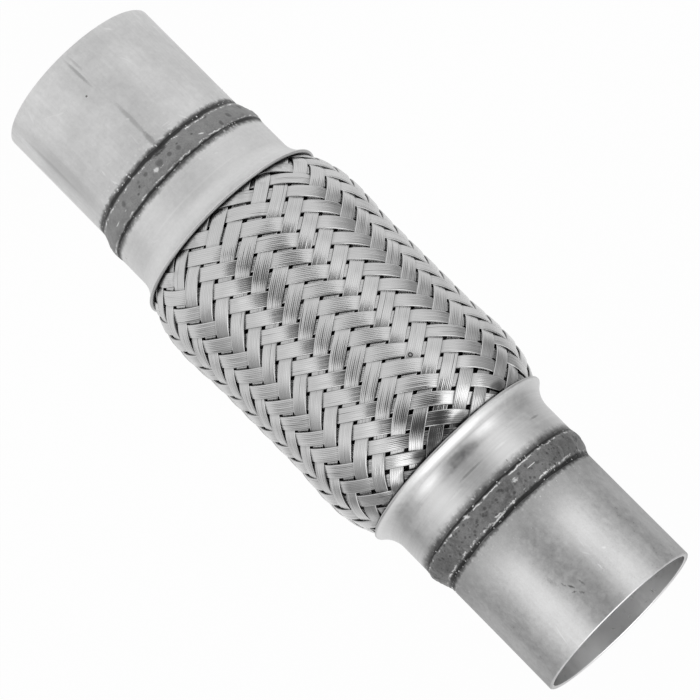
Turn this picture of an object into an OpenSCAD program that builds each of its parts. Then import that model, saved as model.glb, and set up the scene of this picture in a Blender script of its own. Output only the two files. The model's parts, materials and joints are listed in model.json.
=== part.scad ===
// Exhaust flex pipe: two plain nipples joined by a braided bellows with an interlock liner.
// The pipe stands on its inlet end, with its axis on Z. All sizes are in millimetres.

/* [Nipples] */
// Length of each plain nipple, from its free end to the flex joint
nipple_l = 50.8; // [35:0.1:120]
// Bore of the nipples, which slips over the exhaust pipe
bore_d = 57.6; // [40:0.1:90]
// Wall of the nipples
tube_wall = 1.6; // [1.2:0.1:2.2]
// Chamfer on the free edges of the nipples
edge_break = 0.3; // [0.1:0.05:0.5]

/* [Collars] */
// Length of the flex section between the two nipples
flex_l = 152.4; // [120:0.1:300]
// Wall of the pressed collars
collar_wall = 1.2; // [0.8:0.1:1.6]
// Length of the straight neck of a collar
neck_l = 14.7; // [8:0.1:25]
// Length of the trumpet flare of a collar, along the middle of its wall
flare_l = 8.5; // [6:0.1:11]
// How far the flare opens outside the neck, along the middle of its wall
flare_rise = 4.25; // [3:0.05:5]

/* [Weld beads] */
// Width of the bead on the collar
weld_on_collar = 3.7; // [2:0.1:6]
// Width of the bead on the nipple
weld_on_tube = 6.3; // [3:0.1:9]
// Swell of the bead above the slope from collar to nipple
weld_crown = 0.8; // [0.4:0.05:1.2]

/* [Braid] */
// Wire strands in each direction, in fours so that the herringbone closes
strands = 24; // [16:4:32]
// Distance along the pipe between crossings in one column
crossing_pitch = 7.06; // [5.5:0.01:9]
// Thickness of the woven wall between the collars
braid_wall = 1.4; // [1.2:0.05:2]
// Thickness of the braid where the collars squeeze it
braid_cuff_wall = 0.55; // [0.5:0.05:1]
// Rise of the braid from the collar's lip to its shoulder
shoulder_rise = 4.55; // [4:0.05:6]
// Distance from the lip to the shoulder
shoulder_l = 19.5; // [14:0.1:26]
// How far the waist lies inside the shoulder
waist_dip = 0.8; // [0:0.05:1.2]
// Distance from the shoulder to the waist
waist_l = 16.5; // [10:0.1:30]
// How far a strand dives at the end of each float
float_dip = 0.6; // [0.3:0.05:0.8]
// Depth of the open corners between four strands
corner_pit = 1.0; // [0.7:0.05:1.1]
// Share of the strand pitch that a strand fills
strand_fill = 0.9; // [0.8:0.01:0.95]

/* [Bellows] */
// Sheet of the bellows
bellows_wall = 0.35; // [0.25:0.05:0.6]
// Distance between convolutions
convolution_pitch = 5.75; // [4.5:0.05:8]
// Distance from a collar's lip to the first convolution
convolution_end = 7; // [6:0.1:12]

/* [Interlock liner] */
// Strip of the liner
liner_wall = 0.35; // [0.25:0.05:0.6]
// How far the liner lies outside the nipples' bore, clear of the exhaust pipe
liner_relief = 0.35; // [0.35:0.01:0.6]
// Depth of the interlocked bands
band_depth = 0.7; // [0.4:0.05:1.2]
// Distance between bands of one height
band_pitch = 8; // [6:0.1:14]

/* [Fits] */
// Gap between the nested layers in the neck
nest_gap = 0.15; // [0.1:0.01:0.3]
// Gap between the braid and a collar
collar_gap = 0.3; // [0.25:0.01:0.4]
// Gap between the bellows and its neighbours in the flex section
flex_gap = 0.4; // [0.3:0.05:0.8]
// Gap between the nested layers and the end of a nipple
end_gap = 0.3; // [0.2:0.01:0.5]

/* [Hidden] */
round_fn = 96;
lip_fn = 24;
arc_steps = 10;
bend_steps = 6;
// Exponent of the braid's curve from the lip to the shoulder
shoulder_power = 2.5;
// Rings on the inside of the shoulder, as shares of its length
shoulder_ring_shares = [0.45, 0.75, 1];

// Heights, counted from the middle of the flex section
mid_z = nipple_l + flex_l / 2;
joint_z = flex_l / 2;
flare_z = joint_z - neck_l;
layer_end_z = joint_z - end_gap;

// Radii of the layers nested in a neck, from the bore outwards
bore_r = bore_d / 2;
tube_r = bore_r + tube_wall;
liner_bore_r = bore_r + liner_relief;
liner_cuff_r = liner_bore_r + liner_wall;
bellows_cuff_r = liner_cuff_r + nest_gap + bellows_wall;
braid_cuff_r = bellows_cuff_r + nest_gap + braid_cuff_wall;
neck_in_r = braid_cuff_r + collar_gap;
neck_r = neck_in_r + collar_wall;

// The flare is an arc that leaves the neck along the axis, round a centre outside the pipe
flare_arc_r = (flare_l * flare_l + flare_rise * flare_rise) / (2 * flare_rise);
flare_turn = asin(flare_l / flare_arc_r);
flare_centre_r = neck_r - collar_wall / 2 + flare_arc_r;

// Outside of the braid: round the flare's inner face, then out to the shoulder
braid_arc_r = flare_arc_r + collar_wall / 2 + collar_gap;
lip_z = flare_z - braid_arc_r * sin(flare_turn);
braid_lip_r = flare_centre_r - braid_arc_r * cos(flare_turn);
shoulder_r = braid_lip_r + shoulder_rise;
shoulder_z = lip_z - shoulder_l;
waist_r = shoulder_r - waist_dip;

// Rows of crossings, an even count that spans the woven stretch
woven_z = (lip_z + flare_z) / 2;
row_count = 2 * round(2 * woven_z / crossing_pitch);
row_step = 2 * woven_z / row_count;
half_turn = 180 / strands;

// Bellows and liner
band_r = liner_cuff_r + band_depth;
root_r = band_r + flex_gap + bellows_wall;
crest_r = waist_r - braid_wall - flex_gap;
convolutions = floor(2 * (lip_z - convolution_end) / convolution_pitch);
convolution_z0 = -(convolutions - 1) * convolution_pitch / 2;
bend_r = convolution_pitch / 4;
convolution_end_z = convolution_pitch / 2 - convolution_z0;
root_end_z = (lip_z + convolution_end_z) / 2;
bands = floor(2 * root_end_z / band_pitch);

// Turns a list round
function turned(list) = [for (i = [len(list) - 1 : -1 : 0]) list[i]];

// Smooth step from 0 to 1
function ease(u) = u * u * (3 - 2 * u);

// Outer radius of the braid at a height from the middle
function braid_r(z) =
    let (a = abs(z), d = lip_z - a)
    a >= flare_z ? braid_cuff_r
    : d < 0 ? flare_centre_r - sqrt(pow(braid_arc_r, 2) - pow(flare_z - a, 2))
    : d < shoulder_l ? shoulder_r - shoulder_rise * pow(1 - d / shoulder_l, shoulder_power)
    : shoulder_r - waist_dip * ease(min(1, (d - shoulder_l) / waist_l));

// Wall of the braid, thinner where a collar squeezes it
function braid_wall_at(z) =
    let (u = (abs(z) - lip_z) / (flare_z - lip_z))
    braid_wall + (braid_cuff_wall - braid_wall) * ease(min(1, max(0, u)));

// Outer radius of a weld bead, from 0 at the collar to 1 at the nipple
function weld_r(u) = neck_r + (tube_r - neck_r) * ease(u) + weld_crown * sin(180 * u);

// Places a half made for the outlet at one end or the other
module at_end(outlet) {
    translate([0, 0, mid_z])
    mirror([0, 0, outlet ? 0 : 1])
    children();
}

// Plain nipple with both free edges broken
module tube() {
    rotate_extrude($fn = round_fn)
    polygon([
        [bore_r, joint_z],
        [tube_r, joint_z],
        [tube_r, joint_z + nipple_l - edge_break],
        [tube_r - edge_break, joint_z + nipple_l],
        [bore_r + edge_break, joint_z + nipple_l],
        [bore_r, joint_z + nipple_l - edge_break]
    ]);
}

// Bead that closes the collar and the nested layers onto the nipple
module weld() {
    bead = [
        for (i = [0 : arc_steps])
        let (u = i / arc_steps)
        [weld_r(u), joint_z - weld_on_collar + u * (weld_on_collar + weld_on_tube)]
    ];
    root = [
        [tube_r, joint_z + end_gap],
        [neck_in_r, joint_z],
        [neck_r, joint_z]
    ];
    rotate_extrude($fn = round_fn)
    polygon(concat(bead, root));
}

// Pressed collar: a straight neck that opens in a trumpet with a rounded lip
module collar() {
    reach = 2 * flare_arc_r;
    rotate_extrude($fn = round_fn) {
        translate([neck_in_r, flare_z])
        square([collar_wall, neck_l]);
        translate([flare_centre_r, flare_z]) {
            intersection() {
                difference() {
                    circle(r = flare_arc_r + collar_wall / 2, $fn = round_fn);
                    circle(r = flare_arc_r - collar_wall / 2, $fn = round_fn);
                }
                polygon([
                    [0, 0],
                    [-reach, 0],
                    [-reach, -reach * tan(flare_turn / 2)],
                    [-reach * cos(flare_turn), -reach * sin(flare_turn)]
                ]);
            }
            translate([-flare_arc_r * cos(flare_turn), -flare_arc_r * sin(flare_turn)])
            circle(d = collar_wall, $fn = lip_fn);
        }
    }
}

// Herringbone of flat strands, two over and two under, with plain cuffs inside the collars
module braid() {
    // Corners of a crossing: left, right, top and bottom
    side = strand_fill * half_turn;
    rise = strand_fill * row_step;
    corners = [[-side, 0], [side, 0], [0, rise], [0, -rise]];
    // Corners that lie low, in each of the four columns of the pattern
    low = [[0, 3], [1, 2], [0, 2], [1, 3]];
    // A point of the wall, at an angle, a height and a depth below the outside
    function at(angle, z, depth) =
        let (r = braid_r(z) - depth)
        [r * cos(angle), r * sin(angle), z];
    function column(m, k) = 2 * k + m % 2;
    function is_low(m, k, v) = len(search(v, low[column(m, k) % 4])) > 0;
    function row_z(m) = (m - row_count / 2) * row_step;
    crossings = [
        for (m = [0 : row_count], k = [0 : strands - 1], v = [0 : 3])
        at(column(m, k) * half_turn + corners[v][0], row_z(m) + corners[v][1],
            is_low(m, k, v) ? float_dip : 0)
    ];
    pits = [
        for (m = [0 : row_count], k = [0 : strands - 1])
        at((column(m, k) + 1) * half_turn, row_z(m), corner_pit)
    ];
    // Plain rings: up inside the outlet collar, back along the inside, into the inlet collar
    shoulder_rings = [
        for (u = shoulder_ring_shares)
        shoulder_z + shoulder_l * u
    ];
    flare_rings = [(woven_z + flare_z) / 2, flare_z];
    waist_rings = [0, shoulder_z - waist_l, shoulder_z];
    end_rings = concat(flare_rings, [layer_end_z]);
    upper = concat(waist_rings, shoulder_rings, [woven_z], end_rings);
    inside = concat(turned(upper), [for (i = [1 : len(upper) - 1]) -upper[i]]);
    rings = concat(
        [for (z = end_rings) [z, 0]],
        [for (z = inside) [z, braid_wall_at(z)]],
        [for (z = turned(end_rings)) [-z, 0]]
    );
    sides = 2 * strands;
    ring_points = [
        for (ring = rings, j = [0 : sides - 1])
        at((j - 0.5) * half_turn, ring[0], ring[1])
    ];
    // Numbers of the points
    pit_0 = len(crossings);
    ring_0 = pit_0 + len(pits);
    function wrap(k) = (k + strands) % strands;
    function corner(m, k, v) = 4 * (m * strands + wrap(k)) + v;
    function pit(m, k) = pit_0 + m * strands + wrap(k);
    function edge(m, j) = corner(m, floor(j % sides / 2), j % 2);
    function ring(i, j) =
        i < 0 ? edge(row_count, j)
        : i >= len(rings) ? edge(0, j)
        : ring_0 + i * sides + j % sides;
    tops = [
        for (m = [1 : row_count - 1], k = [0 : strands - 1])
        [corner(m, k, 0), corner(m, k, 2), corner(m, k, 1), corner(m, k, 3)]
    ];
    right_edges = [
        for (m = [0 : row_count - 1], k = [0 : strands - 1])
        let (n = k + m % 2)
        [corner(m, k, 2), corner(m + 1, n, 0), corner(m + 1, n, 3), corner(m, k, 1)]
    ];
    left_edges = [
        for (m = [0 : row_count - 1], k = [0 : strands - 1])
        let (n = k - 1 + m % 2)
        [corner(m, k, 0), corner(m + 1, n, 3), corner(m + 1, n, 1), corner(m, k, 2)]
    ];
    pit_sides = [
        for (m = [1 : row_count - 1], k = [0 : strands - 1])
        let (
            n = k + m % 2,
            rim = [corner(m, k, 1), corner(m + 1, n, 3), corner(m, k + 1, 0), corner(m - 1, n, 2)]
        )
        for (v = [0 : 3])
        [rim[v], rim[(v + 1) % 4], pit(m, k)]
    ];
    end_rows = [
        for (k = [0 : strands - 1])
        each [
            [corner(0, k, 0), corner(0, k, 2), corner(0, k, 1)],
            [corner(0, k, 1), corner(1, k, 3), corner(0, k + 1, 0)],
            [corner(row_count, k, 0), corner(row_count, k, 1), corner(row_count, k, 3)],
            [corner(row_count, k, 1), corner(row_count, k + 1, 0), corner(row_count - 1, k, 2)]
        ]
    ];
    ring_faces = [
        for (i = [-1 : len(rings) - 1], j = [0 : sides - 1])
        [ring(i, j), ring(i + 1, j), ring(i + 1, j + 1), ring(i, j + 1)]
    ];
    quads = concat(tops, right_edges, left_edges, ring_faces);
    halves = [
        for (q = quads)
        each [[q[0], q[1], q[2]], [q[0], q[2], q[3]]]
    ];
    polyhedron(
        points = concat(crossings, pits, ring_points),
        faces = concat(halves, pit_sides, end_rows),
        convexity = 10
    );
}

// One face of the bellows' sheet, the outer one or the inner one
function bellows_face(outer) =
    let (
        half = outer ? bellows_wall / 2 : -bellows_wall / 2,
        crest_c = crest_r - bellows_wall / 2 - bend_r,
        root_c = root_r - bellows_wall / 2 + bend_r,
        cuff = bellows_cuff_r - bellows_wall / 2 + half,
        root = root_c - bend_r + half,
        step = 180 / bend_steps
    )
    concat(
        [[cuff, -layer_end_z], [cuff, -lip_z], [root, -root_end_z]],
        [
            for (i = [0 : convolutions])
            let (
                z = convolution_z0 + (i - 0.5) * convolution_pitch,
                first = i == 0 ? bend_steps / 2 : 0,
                final = i == convolutions ? bend_steps / 2 : bend_steps
            )
            each concat(
                [
                    for (s = [first : final])
                    let (a = s * step - 90)
                    [root_c - (bend_r - half) * cos(a), z + (bend_r - half) * sin(a)]
                ],
                [
                    for (s = [0 : bend_steps])
                    let (a = s * step - 90)
                    if (i < convolutions)
                    [
                        crest_c + (bend_r + half) * cos(a),
                        z + convolution_pitch / 2 + (bend_r + half) * sin(a)
                    ]
                ]
            )
        ],
        [[root, root_end_z], [cuff, lip_z], [cuff, layer_end_z]]
    );

// One face of the liner's strip: square bands that hook into each other
function liner_face(outer) =
    let (
        cuff = outer ? liner_cuff_r : liner_bore_r,
        high = cuff + band_depth,
        back = outer ? liner_wall / 2 : -liner_wall / 2,
        z0 = -(bands - 1) * band_pitch / 2
    )
    concat(
        [[cuff, -layer_end_z]],
        [
            for (i = [0 : bands - 1])
            let (z = z0 + i * band_pitch, reach = band_pitch / 4 + back)
            each [[cuff, z - reach], [high, z - reach], [high, z + reach], [cuff, z + reach]]
        ],
        [[cuff, layer_end_z]]
    );

// Revolves a sheet between its inner and outer face
module sheet_ring(inner, outer) {
    translate([0, 0, mid_z])
    rotate_extrude($fn = round_fn)
    polygon(concat(outer, turned(inner)));
}

module inlet_tube() {
    color([0.80, 0.80, 0.79])
    at_end(outlet = false)
    tube();
}

module outlet_tube() {
    color([0.80, 0.80, 0.79])
    at_end(outlet = true)
    tube();
}

module inlet_weld() {
    color([0.42, 0.42, 0.42])
    at_end(outlet = false)
    weld();
}

module outlet_weld() {
    color([0.42, 0.42, 0.42])
    at_end(outlet = true)
    weld();
}

module inlet_collar() {
    color([0.84, 0.84, 0.83])
    at_end(outlet = false)
    collar();
}

module outlet_collar() {
    color([0.84, 0.84, 0.83])
    at_end(outlet = true)
    collar();
}

module outer_braid() {
    color([0.70, 0.70, 0.70])
    translate([0, 0, mid_z])
    braid();
}

module bellows() {
    color([0.60, 0.60, 0.61])
    sheet_ring(bellows_face(outer = false), bellows_face(outer = true));
}

module inner_liner() {
    color([0.55, 0.55, 0.56])
    sheet_ring(liner_face(outer = false), liner_face(outer = true));
}

inlet_tube();
inlet_weld();
inlet_collar();
outlet_tube();
outlet_weld();
outlet_collar();
outer_braid();
bellows();
inner_liner();
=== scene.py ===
"""Exhaust flex pipe: smooth pieces, woven braid, finishes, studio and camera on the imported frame."""
import json
import logging
import math
from dataclasses import dataclass
from enum import Enum
from functools import cache
from typing import Callable, Sequence, Union

import bmesh
import bpy
import numpy as np
from mathutils import Matrix, Vector, noise


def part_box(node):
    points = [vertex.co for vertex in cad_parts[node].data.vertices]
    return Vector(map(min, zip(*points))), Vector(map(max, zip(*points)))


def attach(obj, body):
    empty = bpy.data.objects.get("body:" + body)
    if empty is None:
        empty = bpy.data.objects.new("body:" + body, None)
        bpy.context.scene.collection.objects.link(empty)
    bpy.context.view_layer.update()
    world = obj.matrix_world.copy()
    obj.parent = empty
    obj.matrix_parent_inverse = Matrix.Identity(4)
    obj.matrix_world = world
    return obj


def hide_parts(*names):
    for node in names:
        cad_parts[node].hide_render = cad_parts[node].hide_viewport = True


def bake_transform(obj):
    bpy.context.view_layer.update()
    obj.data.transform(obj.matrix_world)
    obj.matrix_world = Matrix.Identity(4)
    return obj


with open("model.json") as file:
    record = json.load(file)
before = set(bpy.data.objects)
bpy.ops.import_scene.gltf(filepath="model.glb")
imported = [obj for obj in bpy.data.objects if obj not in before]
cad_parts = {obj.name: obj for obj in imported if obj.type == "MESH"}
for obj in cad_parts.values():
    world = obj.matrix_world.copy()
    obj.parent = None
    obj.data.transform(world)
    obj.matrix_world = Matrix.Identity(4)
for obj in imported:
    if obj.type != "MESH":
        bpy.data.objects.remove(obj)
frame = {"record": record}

LOG = logging.getLogger("flex_pipe")
MM = 0.001
DEGREES = 180 / math.pi
RADIANS = math.pi / 180
SHARP_ANGLE = math.radians(32)
MERGE_DISTANCE = 1e-6
ROUNDING = 0.0001
LINE_STRETCH = 0.03
Feed = Union["Value", bpy.types.NodeSocket, bpy.types.Material, float, int, bool, str, tuple]
Shape = Callable[[float, float, float], tuple[float, float]]


class End(Enum):
    """The two ends of the pipe, with the sign of their heights from the middle."""

    INLET = -1
    OUTLET = 1

    @property
    def word(self) -> str:
        """Name of the end, as the nodes use it."""
        return self.name.lower()

    @property
    def body(self) -> str:
        """Name of the body that the end's rigid pieces ride on."""
        return f"{self.word}_end"


class Lay(Enum):
    """The two strand families of the braid, with the sign of their turn along the pipe."""

    FALLING = -1
    RISING = 1


# Node trees


class Value:
    """A number inside a node tree, which takes part in plain arithmetic."""

    def __init__(self, kit: "NodeKit", socket: bpy.types.NodeSocket) -> None:
        """Keeps the tree's kit and the socket that gives the number."""
        self.kit = kit
        self.socket = socket

    def __add__(self, other: Feed) -> "Value":
        """Sum."""
        return self.kit.math("ADD", self, other)

    __radd__ = __add__

    def __mul__(self, other: Feed) -> "Value":
        """Product."""
        return self.kit.math("MULTIPLY", self, other)

    __rmul__ = __mul__

    def __sub__(self, other: Feed) -> "Value":
        """Difference."""
        return self.kit.math("SUBTRACT", self, other)

    def __rsub__(self, other: Feed) -> "Value":
        """Difference from a plain number."""
        return self.kit.math("SUBTRACT", other, self)

    def __truediv__(self, other: Feed) -> "Value":
        """Quotient."""
        return self.kit.math("DIVIDE", self, other)

    def __pow__(self, other: Feed) -> "Value":
        """Power."""
        return self.kit.math("POWER", self, other)

    def __abs__(self) -> "Value":
        """Size without its sign."""
        return self.kit.math("ABSOLUTE", self)

    def do(self, operation: str, *others: Feed) -> "Value":
        """Any other operation of the Math node, with this number first."""
        return self.kit.math(operation, self, *others)

    def clamped(self) -> "Value":
        """The number, held between 0 and 1."""
        return self.kit.math("ADD", self, 0.0, clamp=True)

    def ease(self, low: Feed, high: Feed, start: float = 0.0, end: float = 1.0) -> "Value":
        """Smooth step from start to end while the number goes from low to high."""
        feeds = {"Value": self, "From Min": low, "From Max": high, "To Min": start, "To Max": end}
        return self.kit.out("ShaderNodeMapRange", feeds, interpolation_type="SMOOTHSTEP")


class NodeKit:
    """Adds nodes to one tree and links them as they are made."""

    def __init__(self, tree: bpy.types.NodeTree) -> None:
        """Keeps the tree."""
        self.tree = tree
        self.entry: bpy.types.Node | None = None

    @classmethod
    def group(cls, name: str, kind: str, inputs: dict[str, Feed], outputs: dict[str, str]) -> "NodeKit":
        """Starts a node group with named inputs and outputs.

        Args:
            name: Name of the group.
            kind: GeometryNodeTree or ShaderNodeTree.
            inputs: Default value of each input, or a socket type.
            outputs: Socket type of each output.
        """
        kit = cls(bpy.data.node_groups.new(name, kind))
        types = {float: "NodeSocketFloat", int: "NodeSocketInt", tuple: "NodeSocketColor"}
        for label, default in inputs.items():
            plain = type(default) in types
            item = kit.tree.interface.new_socket(
                name=label, in_out="INPUT", socket_type=types[type(default)] if plain else default
            )
            if plain:
                item.default_value = default
        for label, socket_type in outputs.items():
            kit.tree.interface.new_socket(name=label, in_out="OUTPUT", socket_type=socket_type)
        kit.entry = kit.tree.nodes.new("NodeGroupInput")
        return kit

    @classmethod
    def geometry(cls, name: str, sizes: dict[str, Feed]) -> "NodeKit":
        """Starts a Geometry Nodes tree that takes sizes and a material."""
        inputs = {**sizes, "Material": "NodeSocketMaterial"}
        return cls.group(name, "GeometryNodeTree", inputs, {"Geometry": "NodeSocketGeometry"})

    def given(self, label: str) -> Value:
        """A named input of the group."""
        return Value(self, self.entry.outputs[label])

    def leave(self, feeds: dict[str, Feed]) -> None:
        """Links the group's named outputs.

        Args:
            feeds: Value of each output, by name.
        """
        exit_node = self.tree.nodes.new("NodeGroupOutput")
        for label, value in feeds.items():
            self.feed(exit_node.inputs[label], value)

    @staticmethod
    def pick(sockets: bpy.types.bpy_prop_collection, key: str | int) -> bpy.types.NodeSocket:
        """The socket with a number, or the first live one with a name.

        Args:
            sockets: Inputs or outputs of a node.
            key: Number or name of the socket.

        Returns:
            The socket.
        """
        if isinstance(key, int):
            return sockets[key]
        return next(socket for socket in sockets if socket.name == key and socket.enabled)

    def feed(self, socket: bpy.types.NodeSocket, value: Feed) -> None:
        """Links a value to a socket, or sets a plain number on it.

        Args:
            socket: Input to fill.
            value: A value or socket to link, or a plain setting.
        """
        if isinstance(value, Value):
            self.tree.links.new(value.socket, socket)
        elif isinstance(value, bpy.types.NodeSocket):
            self.tree.links.new(value, socket)
        else:
            socket.default_value = value

    def add(self, kind: str, feeds: dict[str | int, Feed] | None = None, **settings: Feed) -> bpy.types.Node:
        """Adds a node.

        Args:
            kind: Type name of the node.
            feeds: Value of each input, by name or number.
            settings: Properties of the node.

        Returns:
            The new node.
        """
        node = self.tree.nodes.new(kind)
        for label, value in settings.items():
            setattr(node, label, value)
        for key, value in (feeds or {}).items():
            self.feed(self.pick(node.inputs, key), value)
        return node

    def out(
        self, kind: str, feeds: dict[str | int, Feed] | None = None, result: str | int = 0, **settings: Feed
    ) -> Value:
        """Adds a node and gives one of its outputs."""
        node = self.add(kind, feeds, **settings)
        return Value(self, self.pick(node.outputs, result))

    def math(self, operation: str, *args: Feed, clamp: bool = False) -> Value:
        """Adds a Math node."""
        return self.out("ShaderNodeMath", dict(enumerate(args)), operation=operation, use_clamp=clamp)

    def vector(self, x: Feed, y: Feed, z: Feed) -> Value:
        """Joins three numbers into a vector."""
        return self.out("ShaderNodeCombineXYZ", {0: x, 1: y, 2: z})

    def parts(self, vector: Feed) -> tuple[Value, Value, Value]:
        """Splits a vector into its three numbers."""
        node = self.add("ShaderNodeSeparateXYZ", {0: vector})
        return Value(self, node.outputs[0]), Value(self, node.outputs[1]), Value(self, node.outputs[2])

    def noise(self, vector: Feed, scale: float, detail: float = 2.0, rough: float = 0.5) -> Value:
        """Noise around 0.5 on a vector."""
        feeds = {"Vector": vector, "Scale": scale, "Detail": detail, "Roughness": rough}
        return self.out("ShaderNodeTexNoise", feeds, noise_dimensions="3D")

    def blend(self, share: Feed, first: Feed, second: Feed, mode: str = "MIX") -> Value:
        """Mixes two colours."""
        feeds = {"Factor": share, "A": first, "B": second}
        return self.out("ShaderNodeMix", feeds, "Result", data_type="RGBA", blend_type=mode)

    def shade(self, tone: float, level: Value) -> Value:
        """A grey tone, made lighter or darker by a level around 1."""
        return self.blend(1.0, grey(tone), self.vector(level, level, level), "MULTIPLY")

    def attribute(self, label: str) -> Value:
        """Reads a number stored on the mesh, in a material."""
        return self.out("ShaderNodeAttribute", None, "Fac", attribute_name=label)

    def store(self, geometry: Feed, label: str, number: Feed) -> Value:
        """Stores a number on the points of a geometry.

        Args:
            geometry: Geometry to store it on.
            label: Name to store it under.
            number: Number for each point.

        Returns:
            The geometry with the number on it.
        """
        feeds = {"Geometry": geometry, "Name": label, "Value": number}
        settings = {"data_type": "FLOAT", "domain": "POINT"}
        return self.out("GeometryNodeStoreNamedAttribute", feeds, "Geometry", **settings)

    def on_pipe(self, angle: Value, radius: Value, height: Feed) -> Value:
        """Place in metres of an angle round the pipe, with a radius and a height in millimetres."""
        spot = self.vector(angle.do("COSINE") * radius, angle.do("SINE") * radius, height)
        return self.out("ShaderNodeVectorMath", {0: spot, "Scale": MM}, "Vector", operation="SCALE")

    def merged(self, geometry: Feed) -> Value:
        """Joins the points of a geometry that lie in one place."""
        feeds = {"Geometry": geometry, "Distance": MERGE_DISTANCE}
        return self.out("GeometryNodeMergeByDistance", feeds, "Geometry")

    def leave_smooth(self, geometry: Feed) -> None:
        """Puts a geometry out of the tree: smooth, real and with the material that was given.

        Args:
            geometry: Geometry that the tree has made.
        """
        feeds = {"Geometry": geometry, "Shade Smooth": True}
        smooth = self.out("GeometryNodeSetShadeSmooth", feeds, "Geometry")
        real = self.out("GeometryNodeRealizeInstances", {"Geometry": smooth}, "Geometry")
        feeds = {"Geometry": real, "Material": self.given("Material")}
        self.leave({"Geometry": self.out("GeometryNodeSetMaterial", feeds, "Geometry")})

    def use(self, group: bpy.types.NodeTree, feeds: dict[str, Feed]) -> dict[str, Value]:
        """Places a shader group and gives all its outputs by name.

        Args:
            group: Shader group to place.
            feeds: Value of each input, by name.

        Returns:
            All outputs of the group, by name.
        """
        node = self.add("ShaderNodeGroup", None, node_tree=group)
        for label, value in feeds.items():
            self.feed(node.inputs[label], value)
        return {socket.name: Value(self, socket) for socket in node.outputs}


def grey(level: float) -> tuple[float, float, float, float]:
    """A neutral colour."""
    return (level, level, level, 1.0)


# Tones of bare metal and of dirt, and of painted light and shade
BRIGHT = grey(0.98)
PAINTED_BORE_LIGHT = grey(0.97)
SPECK_AND_GLINT = grey(0.95)
SCUFF = grey(0.92)
LIP_SHADE = grey(0.12)
SMUDGE = grey(0.08)
SOOT = grey(0.07)
TOE_OXIDE_AND_SHADE = grey(0.035)
SHADOW = grey(0.03)
GAP_SHADE = grey(0.02)
FINE_RELIEF = 0.00006
WELD_RELIEF = 0.0003


# Sizes


@dataclass(frozen=True)
class PipeSizes:
    """Sizes in millimetres, with heights counted from the middle of the flex section."""

    mid_z: float
    joint_z: float
    end_z: float
    bore_r: float
    tube_r: float
    lip_r: float
    shoulder_r: float
    edge_break: float = 0.3
    collar_wall: float = 1.2
    neck_l: float = 14.7
    flare_l: float = 8.5
    flare_rise: float = 4.25
    collar_gap: float = 0.3
    weld_on_collar: float = 3.7
    weld_on_tube: float = 6.3
    weld_crown: float = 0.8
    end_gap: float = 0.3
    shoulder_rise: float = 4.55
    shoulder_l: float = 19.5
    shoulder_power: float = 2.5
    waist_dip: float = 0.8
    waist_l: float = 16.5

    @classmethod
    def from_frame(cls) -> "PipeSizes":
        """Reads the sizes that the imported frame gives.

        Returns:
            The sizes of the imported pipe.
        """
        record = frame["record"]
        mid_z = record["behaviour"]["joints"][0]["pos_m"][2] / MM
        tube_low, tube_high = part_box("outlet_tube")
        return cls(
            mid_z=mid_z,
            joint_z=tube_low.z / MM - mid_z,
            end_z=tube_high.z / MM - mid_z,
            bore_r=record["mounts"][0]["dims"]["r_mm"],
            tube_r=tube_high.x / MM,
            lip_r=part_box("outlet_collar")[1].x / MM,
            shoulder_r=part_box("outer_braid")[1].x / MM,
        )

    @property
    def neck_r(self) -> float:
        """Outside of a collar's neck."""
        return self.lip_r - self.flare_rise

    @property
    def neck_in_r(self) -> float:
        """Inside of a collar's neck."""
        return self.neck_r - self.collar_wall

    @property
    def flare_z(self) -> float:
        """Height where the neck ends and the flare begins."""
        return self.joint_z - self.neck_l

    @property
    def flare_arc_r(self) -> float:
        """Radius of the flare's arc along the middle of its wall."""
        return (self.flare_l**2 + self.flare_rise**2) / (2 * self.flare_rise)

    @property
    def flare_turn(self) -> float:
        """Angle that the flare turns through."""
        return math.asin(self.flare_l / self.flare_arc_r)

    @property
    def flare_centre_r(self) -> float:
        """Distance of the flare's arc centre from the axis."""
        return self.neck_r - self.collar_wall / 2 + self.flare_arc_r

    @property
    def braid_arc_r(self) -> float:
        """Radius of the braid's arc under the flare."""
        return self.flare_arc_r + self.collar_wall / 2 + self.collar_gap

    @property
    def lip_z(self) -> float:
        """Height where the braid leaves the flare."""
        return self.flare_z - self.braid_arc_r * math.sin(self.flare_turn)

    @property
    def braid_cuff_r(self) -> float:
        """Outside of the braid in the neck."""
        return self.neck_in_r - self.collar_gap

    def weld_r(self, u: float) -> float:
        """Radius of a weld bead, from 0 at the collar to 1 at the nipple."""
        slope = u * u * (3 - 2 * u)
        return self.neck_r + (self.tube_r - self.neck_r) * slope + self.weld_crown * math.sin(math.pi * u)


# Meshes


def add_object(name: str, mesh: bpy.types.Mesh, material: bpy.types.Material) -> bpy.types.Object:
    """Puts a finished mesh in the scene with one material.

    Args:
        name: Name of the piece.
        mesh: Its finished mesh.
        material: Its only material.

    Returns:
        The new piece.
    """
    mesh.materials.clear()
    mesh.materials.append(material)
    piece = bpy.data.objects.new(name, mesh)
    bpy.context.scene.collection.objects.link(piece)
    return piece


def report(piece: bpy.types.Object) -> None:
    """Logs a finished piece with its triangles."""
    piece.data.calc_loop_triangles()
    LOG.info("%s: %d triangles", piece.name, len(piece.data.loop_triangles))


def refined(profile: Sequence[tuple[float, float]], spacing: float) -> np.ndarray:
    """Divides the edges of a closed profile.

    Args:
        profile: Corners as radius and height.
        spacing: Longest edge that is left.

    Returns:
        The corners and the points between them, turned so that faces point outwards.
    """
    corners = np.array(profile, dtype=float)
    following = np.roll(corners, -1, axis=0)
    area = np.sum(corners[:, 0] * following[:, 1] - following[:, 0] * corners[:, 1])
    if area < 0:
        corners = corners[::-1]
        following = np.roll(corners, -1, axis=0)
    points = []
    for start, end in zip(corners, following):
        count = max(1, math.ceil(np.linalg.norm(end - start) / spacing))
        points.extend(start + (end - start) * i / count for i in range(count))
    return np.array(points)


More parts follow.
